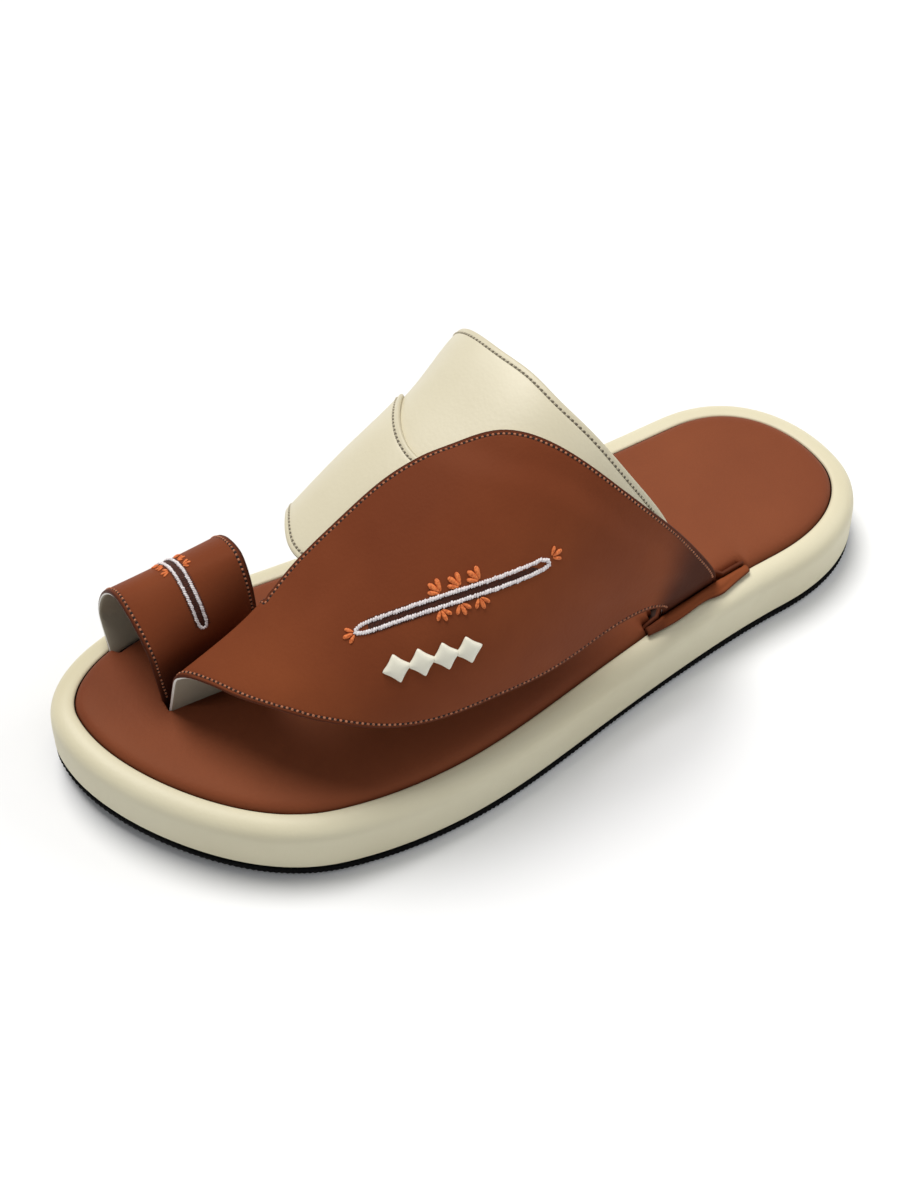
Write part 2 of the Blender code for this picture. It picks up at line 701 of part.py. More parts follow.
def build():
    for old in list(bpy.data.objects):
        bpy.data.objects.remove(old, do_unlink=True)
    frame = bpy.data.objects.new("sandal", None)
    bpy.context.collection.objects.link(frame)
    frame.location = Vector((-BOX_CENTRE_X, 0.0, 0.0))
    rubber = material("outsole_rubber", BLACK, 0.7)
    wrap = material("midsole_leather", CREAM, 0.5)
    footbed = material("insole_leather", BROWN, 0.5)
    brown = material("brown_leather", BROWN, 0.5)
    cream = material("cream_leather", CREAM, 0.45)
    stud = material("stud_leather", CREAM, 0.4)
    part("outsole", outsole_mesh(), rubber, frame)
    part("midsole", midsole_mesh(), wrap, frame)
    insole = part("insole", insole_mesh(), footbed, frame)
    slot = [(x, y) for x in POST_SLOT_X for y in POST_SLOT_Y]
    slot = [slot[0], slot[2], slot[3], slot[1]]
    cut(insole, "post_slot", prism(slot, 2, *POST_SLOT_Z), frame)
    part("vamp_and_toe_ring", vamp_mesh(), brown, frame)
    straps = part("instep_straps", straps_mesh(), cream, frame)
    cut(straps, "inner_arch", arch_hole_mesh(), frame)
    part("outer_keeper", keeper_mesh(), brown, frame)
    part("inner_tab", tab_mesh(), brown, frame)
    for number, (y, share) in enumerate(DIAMONDS, start=1):
        part(f"diamond_{number}", diamond_mesh(y, share), stud, frame)


build()
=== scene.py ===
"""Looks of the arabic sandal: leather panels, seams, embroidery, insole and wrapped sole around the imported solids.

Metres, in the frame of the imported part: +Z up, toe to -Y, outer side of the left foot to +X.
The tables use the foot's own line as X = 0 and every point is moved by BOX_CENTRE_X at the end.
"""

import math

import bmesh
import bpy
import numpy as np
from mathutils import Matrix, Vector, kdtree


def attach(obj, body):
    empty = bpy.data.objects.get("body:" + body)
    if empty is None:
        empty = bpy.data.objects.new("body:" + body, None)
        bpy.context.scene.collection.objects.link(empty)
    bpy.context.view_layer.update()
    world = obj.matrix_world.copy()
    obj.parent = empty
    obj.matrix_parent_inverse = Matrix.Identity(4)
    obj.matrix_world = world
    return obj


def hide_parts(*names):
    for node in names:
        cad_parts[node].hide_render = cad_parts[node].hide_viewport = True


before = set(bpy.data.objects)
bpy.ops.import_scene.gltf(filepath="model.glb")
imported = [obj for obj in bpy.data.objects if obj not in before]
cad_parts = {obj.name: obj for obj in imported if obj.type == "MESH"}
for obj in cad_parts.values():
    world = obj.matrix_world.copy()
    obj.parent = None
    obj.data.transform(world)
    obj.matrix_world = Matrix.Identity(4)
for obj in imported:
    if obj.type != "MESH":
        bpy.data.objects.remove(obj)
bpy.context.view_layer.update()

BOX_CENTRE_X = 0.0082
MM = 0.001

# Sole: share of the length from toe to heel, reach to the inner side, reach to the outer side
LENGTH = 0.290
SOLE_PLAN = (
    (0.00, 0.0510, 0.0385),
    (0.12, 0.0503, 0.0540),
    (0.25, 0.0482, 0.0645),
    (0.40, 0.0452, 0.0655),
    (0.55, 0.0425, 0.0570),
    (0.70, 0.0406, 0.0477),
    (0.85, 0.0417, 0.0417),
    (1.00, 0.0420, 0.0417),
)
TOE_APEX_X = -0.0145
HEEL_APEX_X = 0.006
TOE_ROUND = (0.23, 2.3)
HEEL_ROUND = (0.16, 2.2)
TOE_SPRING = 0.0053
TOE_SPRING_SHARE = 0.30
ARCH_RISE = 0.001
ARCH_Y = (-0.005, 0.075)
TRAY_IN = 0.0084
TRAY_Z = 0.0205
FOOT_Z = TRAY_Z + 0.0003
INSOLE_IN = TRAY_IN + 0.0003

# Last under the upper: Y, crest X and Z, widest point of the outer side X and Z, of the inner side X and Z
LAST = (
    (-0.112, 0.002, 0.046, 0.038, 0.030, -0.026, 0.034),
    (-0.085, 0.002, 0.062, 0.047, 0.034, -0.028, 0.040),
    (-0.060, 0.000, 0.078, 0.053, 0.038, -0.031, 0.047),
    (-0.030, -0.006, 0.095, 0.055, 0.040, -0.037, 0.057),
    (0.000, -0.013, 0.108, 0.051, 0.040, -0.0447, 0.0643),
    (0.020, -0.018, 0.1163, 0.046, 0.040, -0.0528, 0.0705),
    (0.050, -0.020, 0.119, 0.040, 0.038, -0.050, 0.070),
    (0.090, -0.020, 0.121, 0.033, 0.034, -0.044, 0.068),
)
OUTER_FOOT_IN = 0.0128
INNER_FOOT_IN = 0.00905
ROUNDNESS = 2.4
LEATHER = 0.0018
LAYER_GAP = 0.0005

# Leaf vamp: lower edge Y and share of the section, upper edge Y and share of the section
LEAF = (
    (-0.1065, 0.485, -0.1080, 0.500),
    (-0.1010, 0.425, -0.1000, 0.506),
    (-0.0960, 0.362, -0.0920, 0.512),
    (-0.0900, 0.312, -0.0840, 0.518),
    (-0.0810, 0.258, -0.0740, 0.530),
    (-0.0710, 0.217, -0.0620, 0.547),
    (-0.0580, 0.175, -0.0460, 0.545),
    (-0.0420, 0.143, -0.0280, 0.533),
    (-0.0250, 0.126, -0.0110, 0.503),
    (-0.0070, 0.104, 0.0050, 0.455),
    (0.0120, 0.085, 0.0190, 0.378),
    (0.0300, 0.078, 0.0350, 0.285),
    (0.0425, 0.066, 0.0520, 0.195),
    (0.0480, 0.050, 0.0640, 0.118),
    (0.0505, 0.030, 0.0720, 0.055),
    (0.0515, 0.010, 0.0750, 0.010),
)
RING_ROW = 4
ROW_LENGTH = 0.0088

# Toe ring, front and rear edge: Y at the near foot, crest and far foot, crest X and Z,
# widest point of the near side X and Z, of the far side X and Z, roundness
RING = (
    (-0.1100, -0.1135, -0.1170, -0.0264, 0.0574, -0.0083, 0.0438, -0.0430, 0.0350, 1.70),
    (-0.0742, -0.0742, -0.0770, -0.0170, 0.0718, -0.0085, 0.0500, -0.0405, 0.0400, 1.85),
)
POST_X = -0.006
POST_TURN = 0.0016
RING_FOOT_IN = 0.0105
RING_END_SHARE = 0.993

# Instep straps: share of the section, front edge Y, rear edge Y of the front strap, rear edge Y of the rear strap
STRAPS = (
    (0.010, 0.0540, 0.0620, 0.0700),
    (0.060, 0.0500, 0.0580, 0.0650),
    (0.130, 0.0360, 0.0470, 0.0580),
    (0.200, 0.0160, 0.0330, 0.0520),
    (0.290, -0.0100, 0.0170, 0.0410),
    (0.360, -0.0300, 0.0050, 0.0330),
    (0.420, -0.0440, -0.0060, 0.0270),
    (0.470, -0.0530, -0.0130, 0.0240),
    (0.530, -0.0600, -0.0180, 0.0200),
    (0.600, -0.0615, -0.0155, 0.0180),
    (0.670, -0.0570, -0.0070, 0.0195),
    (0.750, -0.0510, -0.0035, 0.0250),
    (0.830, -0.0460, -0.0040, 0.0340),
    (0.900, -0.0430, -0.0070, 0.0450),
    (0.985, -0.0420, -0.0090, 0.0530),
)
STRAP_LEATHER = 0.0015
STRAP_OVERLAP = 0.010
STRAP_LENGTH = 0.170
# Open arch on the inner side: reach to the toe and to the heel, and height of the strap's hidden ends
ARCH_HOLE_Y = 0.009
ARCH_HOLE_TOP = 0.046
ARCH_HOLE_FRONT = 0.026
ARCH_HOLE_REAR = 0.0195
TAB_HIDDEN_Z = 0.025
LAP_HIDDEN_Z = 0.038
# Leaf behind the edge of the front strap: depth by which it settles, and over which distance
LEAF_SETTLE = 0.0013
SETTLE_RAMP = 0.010

# Folded tabs
KEEPER_LEATHER = 0.0013
KEEPER_Y = (0.0425, 0.087)
KEEPER_TOPS = (0.0266, 0.0270)
# Inner lip of the keeper: Y, distance outside the last, so that it closes on the leaf and on itself at the ends
KEEPER_INNER = (
    (0.0425, 0.0014), (0.0497, 0.0014), (0.0510, -0.0008), (0.0528, -0.0008), (0.0543, -0.00285),
    (0.0702, -0.00285), (0.0722, -0.0008), (0.0755, -0.0008), (0.0775, 0.0013), (0.0870, 0.0013),
)
KEEPER_END_Z = 0.0255
KEEPER_FOLD = 0.0019
# Outer flap of the keeper: share from its front to its rear end, reach over the rim
SKIRT = (
    (0.00, 0.0022), (0.15, 0.0031), (0.30, 0.0035), (0.45, 0.0031), (0.60, 0.0033), (0.68, 0.0041), (0.85, 0.0032),
    (1.00, 0.0025),
)
SKIRT_CLEAR = 0.0012
TAB_LEATHER = 0.0016
TAB_Y = (0.023, 0.058)
TAB_TOPS = (0.044, 0.0275)
TAB_END_Z = 0.0245

# Where the insole's edge steps in for leather: side, first Y, last Y, depth
TUCKS = (
    (1, 0.0535, 0.0715, 0.0078),
    (1, 0.0508, 0.0765, 0.0058),
    (1, KEEPER_Y[0] + 0.0042, KEEPER_Y[1], 0.0038),
    (-1, TAB_Y[0], TAB_Y[1], 0.0058),
    (-1, -0.0425, -0.0085, 0.0040),
    (-1, -0.1174, -0.0765, 0.0031),
)

DIAMONDS = ((-0.0510, 0.273), (-0.0437, 0.262), (-0.0364, 0.251), (-0.0291, 0.240))
# Darkened leather low on the toe ring, painted shade with some wear: darkness at the foot, and the heights between
# which it fades
RING_DARK = 0.06
RING_DARK_Z = (0.030, 0.074)
DIAMOND_HALF = 0.0061
DIAMOND_TURN = 0.22
DIAMOND_HOLLOW = 0.69
DIAMOND_BLUNT = 1.31
DIAMOND_HEIGHT = 0.0020

# Distances from a leather edge at which its mesh has points, close together so that edge and seam are round
EDGE_STEPS = np.array([0, 0.12, 0.35, 0.7, 1.1, 1.6, 2.0, 2.4, 2.8, 3.4, 4.4]) * MM
SEAM_IN = 0.0022
LEAF_SEAM_IN = 0.0017
TAB_SEAM_IN = 0.0019
SEAM_SINK = 0.00018
SEAM_WIDE = 0.00045
CUT_EDGE = 0.0004
EDGE_FADE = 0.0034
TAB_EDGE_FADE = 0.0018
STITCH_PITCH = 0.0017


def spline(knots, values, at):
    """Natural cubic curve through the values at the knots."""
    knots = np.asarray(knots, float)
    values = np.asarray(values, float)
    gap = np.diff(knots)
    count = len(knots)
    matrix = np.eye(count)
    right = np.zeros(count)
    for i in range(1, count - 1):
        matrix[i, i - 1:i + 2] = gap[i - 1], 2 * (gap[i - 1] + gap[i]), gap[i]
        right[i] = 6 * ((values[i + 1] - values[i]) / gap[i] - (values[i] - values[i - 1]) / gap[i - 1])
    bend = np.linalg.solve(matrix, right)
    at = np.clip(at, knots[0], knots[-1])
    i = np.clip(np.searchsorted(knots, at) - 1, 0, count - 2)
    a = (knots[i + 1] - at) / gap[i]
    b = 1 - a
    curve = (a ** 3 - a) * bend[i] + (b ** 3 - b) * bend[i + 1]
    return a * values[i] + b * values[i + 1] + curve * gap[i] ** 2 / 6


def column(table, place):
    return [row[place] for row in table]


def smoothstep(share):
    share = np.clip(share, 0.0, 1.0)
    return share * share * (3 - 2 * share)


def mix(a, b, share):
    return a + (b - a) * share


def lengths(line):
    """Running length along a polyline."""
    return np.concatenate([[0], np.cumsum(np.linalg.norm(np.diff(line, axis=0), axis=1))])


def resample(line, at):
    """Points of a polyline at given running lengths."""
    run = lengths(line)
    return np.stack([np.interp(at, run, line[:, k]) for k in range(line.shape[1])], -1)


# Sole plan and last, as in the part's source
def plan_x(y, side):
    share = np.clip(np.asarray(y) / LENGTH + 0.5, 0.0, 1.0)
    toe = np.sqrt(1 - (1 - np.minimum(1, share / TOE_ROUND[0])) ** TOE_ROUND[1])
    heel = np.sqrt(1 - (1 - np.minimum(1, (1 - share) / HEEL_ROUND[0])) ** HEEL_ROUND[1])
    middle = mix(TOE_APEX_X, HEEL_APEX_X, share)
    reach = side * spline(column(SOLE_PLAN, 0), column(SOLE_PLAN, 2 if side > 0 else 1), share)
    return middle + (reach - middle) * toe * heel


def inside_x(y, side, distance):
    reach = 0.001
    slope = (plan_x(y + reach, side) - plan_x(y - reach, side)) / (2 * reach)
    return plan_x(y, side) - side * distance * np.hypot(1, slope)


def toe_lift(y):
    share = np.asarray(y) / LENGTH + 0.5
    return TOE_SPRING * np.clip((TOE_SPRING_SHARE - share) / TOE_SPRING_SHARE, 0, 1) ** 2


def arch_lift(y):
    share = (np.asarray(y) - ARCH_Y[0]) / (ARCH_Y[1] - ARCH_Y[0])
    return ARCH_RISE * np.sin(math.pi * np.clip(share, 0, 1)) ** 2


def outline(count):
    y = -0.5 * LENGTH * np.cos(np.linspace(0, math.pi, 3000))
    sides = [np.stack([plan_x(y, side), y], 1) for side in (1, -1)]
    run = lengths(sides[0]) + lengths(sides[1])
    at = np.linspace(0, run[-1], count // 2 + 1)
    outer, inner = (np.stack([np.interp(at, run, line[:, k]) for k in (0, 1)], 1) for line in sides)
    points = np.concatenate([outer, inner[-2:0:-1]])
    step = np.roll(points, -1, 0) - np.roll(points, 1, 0)
    step /= np.linalg.norm(step, axis=1)[:, None]
    return points, np.stack([-step[:, 1], step[:, 0]], 1)


def level(points, inward, distance, z):
    flat = points + inward * np.reshape(distance, (-1, 1))
    return np.column_stack([flat, z + toe_lift(flat[:, 1])])


def section(row, roundness, outer_foot, inner_foot):
    crest_x, crest_z, outer_x, outer_z, inner_x, inner_z = row
    turn = np.linspace(0, math.pi / 2, 500)
    across = np.cos(turn) ** (2 / roundness)
    upward = np.sin(turn) ** (2 / roundness)
    fall = np.linspace(0, 1, 120)
    legs = []
    for wide_x, wide_z, foot_x in ((outer_x, outer_z, outer_foot), (inner_x, inner_z, inner_foot)):
        top_x = crest_x + (wide_x - crest_x) * across[::-1]
        top_z = wide_z + (crest_z - wide_z) * upward[::-1]
        low_x = mix(wide_x, foot_x, smoothstep(fall[1:]))
        low_z = mix(wide_z, FOOT_Z, fall[1:])
        legs.append(np.stack([np.concatenate([top_x, low_x]), np.concatenate([top_z, low_z])], 1))
    return np.concatenate([legs[0][::-1], legs[1][1:]])


LAST_Y = np.linspace(-0.116, 0.094, 421)
LAST_SHARE = np.linspace(0, 1, 601)


def make_last():
    """Points and normals of the last on a close grid."""
    rows = [spline(column(LAST, 0), column(LAST, k), LAST_Y) for k in range(1, 7)]
    points = np.zeros((len(LAST_Y), len(LAST_SHARE), 3))
    for i, y in enumerate(LAST_Y):
        line = section([row[i] for row in rows], ROUNDNESS, plan_x(y, 1) - OUTER_FOOT_IN, plan_x(y, -1) + INNER_FOOT_IN)
        run = lengths(line)
        points[i, :, 0] = np.interp(LAST_SHARE * run[-1], run, line[:, 0])
        points[i, :, 1] = y
        points[i, :, 2] = np.interp(LAST_SHARE * run[-1], run, line[:, 1]) + toe_lift(y)
    normals = np.cross(np.gradient(points, axis=0), np.gradient(points, axis=1))
    return points, normals / np.linalg.norm(normals, axis=2)[:, :, None]


LAST_POINTS, LAST_NORMALS = make_last()


def on_last(y, share, offset=0.0):
    """Points at an offset outside the last, and the normals there."""
    y, share = np.broadcast_arrays(np.asarray(y, float), np.asarray(share, float))
    a = np.clip((y - LAST_Y[0]) / (LAST_Y[1] - LAST_Y[0]), 0, len(LAST_Y) - 1.001)
    b = np.clip(share * (len(LAST_SHARE) - 1), 0, len(LAST_SHARE) - 1.001)
    i, j = a.astype(int), b.astype(int)
    f, g = (a - i)[..., None], (b - j)[..., None]

    def read(grid):
        return mix(mix(grid[i, j], grid[i + 1, j], f), mix(grid[i, j + 1], grid[i + 1, j + 1], f), g)

    normal = read(LAST_NORMALS)
    normal /= np.linalg.norm(normal, axis=-1)[..., None]
    return read(LAST_POINTS) + normal * np.asarray(offset, float)[..., None], normal


# Soft creases of the leather: start and end by Y and share, half width, depth
LEAF_CREASES = (
    ((0.0480, 0.075), (0.0180, 0.150), 0.0034, -0.00038),
    ((0.0580, 0.090), (0.0330, 0.165), 0.0030, 0.00028),
    ((0.0560, 0.075), (0.0360, 0.118), 0.0022, -0.00030),
    ((-0.0850, 0.400), (-0.0420, 0.480), 0.0060, -0.00040),
    ((-0.0900, 0.330), (-0.0600, 0.290), 0.0050, 0.00030),
)
STRAP_CREASES = (
    ((0.0300, 0.930), (-0.0050, 0.840), 0.0050, -0.00032),
    ((0.0420, 0.900), (0.0150, 0.800), 0.0046, -0.00026),
    ((-0.0280, 0.930), (-0.0150, 0.800), 0.0032, -0.00032),
    ((0.0150, 0.560), (-0.0100, 0.640), 0.0050, 0.00030),
)


def creased(points, normals, table):
    """Points moved along their normals by soft troughs and ridges."""
    moved = points.copy()
    for start, end, width, depth in table:
        (a, b), _ = on_last(np.array([start[0], end[0]]), np.array([start[1], end[1]]), np.zeros(2))
        along = np.clip((points - a) @ (b - a) / ((b - a) @ (b - a)), 0, 1)
        away = np.linalg.norm(points - a - along[..., None] * (b - a), axis=-1)
        moved += normals * (depth * np.exp(-(away / width) ** 2) * np.sin(math.pi * along) ** 0.7)[..., None]
    return moved


# Meshes
def piece_from(name, points, faces, looks, face_looks=None, replaces=(), shade=None):
    """Mesh object that rides on the sandal, from points on the foot's line."""
    mesh = bpy.data.meshes.new(name)
    shifted = np.asarray(points, float) - np.array([BOX_CENTRE_X, 0, 0])
    mesh.from_pydata(shifted.tolist(), [], faces)
    for look in looks:
        mesh.materials.append(look)
    if face_looks is not None:
        mesh.polygons.foreach_set("material_index", np.asarray(face_looks, np.int32))
    if shade is not None:
        mesh.attributes.new("edge", "FLOAT", "POINT").data.foreach_set("value", np.asarray(shade, np.float32))
    mesh.shade_smooth()
    mesh.update()
    made = bpy.data.objects.new(name, mesh)
    bpy.context.scene.collection.objects.link(made)
    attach(made, "root")
    if replaces:
        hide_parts(*replaces)
    return made


def ring_faces(count, rings):
    """Faces of stacked rings, with a ladder of faces across both ends."""
    faces = []
    for k in range(rings - 1):
        for i in range(count):
            j = (i + 1) % count
            faces.append((k * count + i, k * count + j, (k + 1) * count + j, (k + 1) * count + i))
    half = count // 2
    for start, flip in ((0, -1), ((rings - 1) * count, 1)):
        faces.append(tuple(start + i for i in (count - 1, 0, 1))[::flip])
        faces.append(tuple(start + i for i in (half - 1, half, half + 1))[::flip])
        for i in range(1, half - 1):
            faces.append(tuple(start + m for m in (i, i + 1, count - i - 1, count - i))[::flip])
    return faces


def grid_normals(points, keep):
    """Normals of a grid from its kept cells."""
    normals = np.zeros_like(points)
    across = points[1:, 1:] - points[:-1, :-1]
    other = points[:-1, 1:] - points[1:, :-1]
    cell = np.cross(across, other)
    cell /= np.linalg.norm(cell, axis=2)[:, :, None] + 1e-12
    cell[~keep] = 0
    for di in (0, 1):
        for dj in (0, 1):
            normals[di:di + cell.shape[0], dj:dj + cell.shape[1]] += cell
    return normals / (np.linalg.norm(normals, axis=2)[:, :, None] + 1e-12)


def panel(name, middle, keep, thick, looks, replaces, seam=SEAM_IN, fade=EDGE_FADE, shade_and_wear=1.0):
    """Leather panel with rounded edges and a sunk seam line, as one closed mesh.

    The looks are those of the outer face, of its cut edge, of the lining and of the lining's cut edge.
    A factor below 1 darkens the face as its edge is darkened: painted shade where little light reaches, with some wear
    on the toe ring.
    """
    normals = grid_normals(middle, keep)
    used = np.zeros(middle.shape[:2], int)
    for di in (0, 1):
        for dj in (0, 1):
            used[di:di + keep.shape[0], dj:dj + keep.shape[1]] += keep
    border = (used > 0) & (used < 4)
    tree = kdtree.KDTree(int(border.sum()))
    for k, point in enumerate(middle[border]):
        tree.insert(point, k)
    tree.balance()
    distance = np.zeros(middle.shape[:2])
    for place in np.argwhere(used == 4):
        distance[tuple(place)] = tree.find(middle[tuple(place)])[2]
    half = thick / 2
    rounded = half * np.sqrt(1 - (1 - np.clip(distance / half, 0, 1)) ** 2)
    sunk = SEAM_SINK * np.exp(-((distance - seam) / SEAM_WIDE) ** 2)
    outer = middle + normals * (rounded - sunk)[..., None]
    inner = middle - normals * rounded[..., None]
    index = np.full(middle.shape[:2], -1)
    index[used > 0] = np.arange((used > 0).sum())
    below = index.copy()
    below[used == 4] = (used > 0).sum() + np.arange((used == 4).sum())
    points = np.concatenate([outer[used > 0], inner[used == 4]])
    # Edge burnish, darkened further by the factor of painted shade and wear
    tone = np.minimum(np.clip(distance / fade, 0, 1), shade_and_wear)
    edge = np.concatenate([tone[used > 0], tone[used == 4]])
    faces, face_looks = [], []
    for i, j in np.argwhere(keep):
        corners = ((i, j), (i + 1, j), (i + 1, j + 1), (i, j + 1))
        cut = max(distance[c] for c in corners) < CUT_EDGE
        faces.append(tuple(index[c] for c in corners))
        face_looks.append(1 if cut else 0)
        faces.append(tuple(below[c] for c in corners[::-1]))
        face_looks.append(3 if cut else 2)
    piece_from(name, points, faces, looks, face_looks, replaces, edge)
    return outer, normals, distance


def edge_columns(width, middle_count):
    """Distances across a panel, close together at both edges."""
    scale = min(1.0, width / 0.014)
    ends = EDGE_STEPS * scale
    inside = np.linspace(ends[-1], width - ends[-1], middle_count + 2)[1:-1]
    return np.concatenate([ends, inside, width - ends[::-1]])


# Seams and threads
def seam_paths(distance, keep, depth):
    """Lines at a depth from a panel's border, as places in its grid."""
    links, place = {}, {}
    for i, j in np.argwhere(keep).tolist():
        corners = ((i, j), (i + 1, j), (i + 1, j + 1), (i, j + 1))
        crossings = []
        for a, b in zip(corners, corners[1:] + corners[:1]):
            first, second = min(a, b), max(a, b)
            start, end = distance[first] - depth, distance[second] - depth
            if (start < 0) != (end < 0):
                place[first, second] = mix(np.array(first, float), np.array(second, float), start / (start - end))
                crossings.append((first, second))
        if len(crossings) == 2:
            links.setdefault(crossings[0], []).append(crossings[1])
            links.setdefault(crossings[1], []).append(crossings[0])
    left = set(links)
    paths = []
    for start in sorted(links, key=lambda key: (len(links[key]), key)):
        if start not in left:
            continue
        path = [start]
        left.discard(start)
        ahead = [key for key in links[start] if key in left]
        while ahead:
            path.append(ahead[0])
            left.discard(ahead[0])
            ahead = [key for key in links[path[-1]] if key in left]
        paths.append(np.array([place[key] for key in path]))
    return paths


def at_places(grid, places):
    """Values of a grid at places between its points."""
    i = np.clip(places[:, 0].astype(int), 0, grid.shape[0] - 2)
    j = np.clip(places[:, 1].astype(int), 0, grid.shape[1] - 2)
    f = (places[:, 0] - i)[:, None]
    g = (places[:, 1] - j)[:, None]
    return mix(mix(grid[i, j], grid[i + 1, j], f), mix(grid[i, j + 1], grid[i + 1, j + 1], f), g)


def kept_runs(points, normals, wanted):
    """Stretches of a line where every point is wanted."""
    runs = []
    marks = np.flatnonzero(np.diff(np.concatenate([[0], wanted.astype(int), [0]])))
    for start, end in zip(marks[::2], marks[1::2]):
        if end - start > 3:
            runs.append((points[start:end], normals[start:end]))
    return runs


def unit(vectors):
    return vectors / (np.linalg.norm(vectors, axis=-1)[..., None] + 1e-12)


def beads(centres, along, normals, sizes, taper=0.0, around=8, rings=6):
    """Rounded beads, each longest along a direction: points and faces of all of them."""
    along = unit(along - normals * (along * normals).sum(1)[:, None])
    across = np.cross(normals, along)
    turn = np.arange(around) * 2 * math.pi / around
    local = [(-1.0, 0.0, 0.0)]
    for station in np.linspace(0, math.pi, rings + 1)[1:-1]:
        wide = math.sin(station) * (1 - taper * math.cos(station))
        local += [(-math.cos(station), wide * math.cos(a), wide * math.sin(a)) for a in turn]
    local = np.array(local + [(1.0, 0.0, 0.0)])
    sizes = np.broadcast_to(sizes, (len(centres), 3))
    points = centres[:, None] + sum(
        (local[None, :, k] * sizes[:, None, k])[..., None] * axis[:, None]
        for k, axis in enumerate((along, across, normals))
    )
    last = len(local) - 1
    shape = []
    for i in range(around):
        j = (i + 1) % around
        shape.append((0, 1 + j, 1 + i))
        for k in range(rings - 2):
            a, b = 1 + k * around, 1 + (k + 1) * around
            shape.append((a + i, a + j, b + j, b + i))
        shape.append((last, last - around + i, last - around + j))
    faces = [tuple(n * len(local) + v for v in face) for n in range(len(centres)) for face in shape]
    return points.reshape(-1, 3), faces


def join(parts):
    """Several sets of points and faces as one, with a look for each set."""
    points, faces, looks = [], [], []
    start = 0
    for some_points, some_faces, look in parts:
        points.append(some_points)
        faces += [tuple(start + v for v in face) for face in some_faces]
        looks += [look] * len(some_faces)
        start += len(some_points)
    return np.concatenate(points), faces, looks


def evenly(points, normals, pitch):
    """Centres, directions and normals at even steps along a line."""
    run = lengths(points)
    count = max(2, round(run[-1] / pitch))
    at = (np.arange(count) + 0.5) * run[-1] / count
    ahead = resample(points, np.minimum(at + pitch / 3, run[-1])) - resample(points, np.maximum(at - pitch / 3, 0))
    normal = unit(np.stack([np.interp(at, run, normals[:, k]) for k in range(3)], 1))
    return resample(points, at), unit(ahead), normal


def sew(name, runs, look, hole_shade_look, pitch=STITCH_PITCH):
    """Stitches along lines, with dark spots of painted shade at the needle holes between them."""
    parts = []
    for points, normals in runs:
        centres, along, normal = evenly(points, normals, pitch)
        size = np.array([0.28 * pitch, 0.00042, 0.00038])
        parts.append((*beads(centres + normal * 0.00008, along, normal, size), 0))
        # Painted shade: a dark bead at each needle hole stands in for the shade inside it
        holes = centres + along * pitch / 2 - normal * 0.00003
        parts.append((*beads(holes, along, normal, np.array([0.00056, 0.00060, 0.00020]), around=8, rings=4), 1))
    points, faces, looks = join(parts)
    piece_from(name, points, faces, [look, hole_shade_look], looks)


# Materials
def new_material(name):
    made = bpy.data.materials.new(name)
    made.use_nodes = True
    return made, made.node_tree.nodes, made.node_tree.links, made.node_tree.nodes["Principled BSDF"]


def leather(name, colour, deep, pale, roughness, grain=900.0, bump=0.12, specular=0.4, burnish_and_shade=None, mottle=14.0,
            sheen=(1.0, 1.0, 1.0)):
    """Leather: soft mottling, fine pebble grain, darker worn edges, and painted shade where the edge attribute is low.
    """
    made, nodes, links, shader = new_material(name)
    place = nodes.new("ShaderNodeTexCoord").outputs["Object"]
    broad = nodes.new("ShaderNodeTexNoise")
    broad.inputs["Scale"].default_value = mottle
    broad.inputs["Detail"].default_value = 5.0
    links.new(place, broad.inputs["Vector"])
    ramp = nodes.new("ShaderNodeValToRGB")
    ramp.color_ramp.elements[0].position = 0.30
    ramp.color_ramp.elements[0].color = (*deep, 1)
    ramp.color_ramp.elements[1].position = 0.72
    ramp.color_ramp.elements[1].color = (*pale, 1)
    middle = ramp.color_ramp.elements.new(0.5)
    middle.color = (*colour, 1)
    links.new(broad.outputs["Fac"], ramp.inputs["Fac"])
    tone = ramp.outputs["Color"]
    # Dark colour of worn edges, also used for painted shade
    if burnish_and_shade:
        edge = nodes.new("ShaderNodeAttribute")
        edge.attribute_name = "edge"
        fade = nodes.new("ShaderNodeMapRange")
        fade.inputs["From Max"].default_value = 0.55
        fade.interpolation_type = "SMOOTHSTEP"
        links.new(edge.outputs["Fac"], fade.inputs["Value"])
        blend = nodes.new("ShaderNodeMix")
        blend.data_type = "RGBA"
        blend.inputs["A"].default_value = (*burnish_and_shade, 1)
        links.new(fade.outputs["Result"], blend.inputs["Factor"])
        links.new(tone, blend.inputs["B"])
        tone = blend.outputs["Result"]
    links.new(tone, shader.inputs["Base Color"])
    cells = nodes.new("ShaderNodeTexVoronoi")
    cells.feature = "SMOOTH_F1"
    cells.inputs["Scale"].default_value = grain
    links.new(place, cells.inputs["Vector"])
    fine = nodes.new("ShaderNodeTexNoise")
    fine.inputs["Scale"].default_value = grain * 0.45
    fine.inputs["Detail"].default_value = 4.0
    links.new(place, fine.inputs["Vector"])
    height = nodes.new("ShaderNodeMath")
    height.operation = "ADD"
    links.new(cells.outputs["Distance"], height.inputs[0])
    links.new(fine.outputs["Fac"], height.inputs[1])
    relief = nodes.new("ShaderNodeBump")
    relief.inputs["Strength"].default_value = bump
    relief.inputs["Distance"].default_value = 0.0004
    links.new(height.outputs["Value"], relief.inputs["Height"])
    links.new(relief.outputs["Normal"], shader.inputs["Normal"])
    gloss = nodes.new("ShaderNodeMapRange")
    gloss.inputs["To Min"].default_value = roughness - 0.07
    gloss.inputs["To Max"].default_value = roughness + 0.09
    links.new(broad.outputs["Fac"], gloss.inputs["Value"])
    links.new(gloss.outputs["Result"], shader.inputs["Roughness"])
    shader.inputs["Specular IOR Level"].default_value = specular
    shader.inputs["Specular Tint"].default_value = (*sheen, 1)
    return made


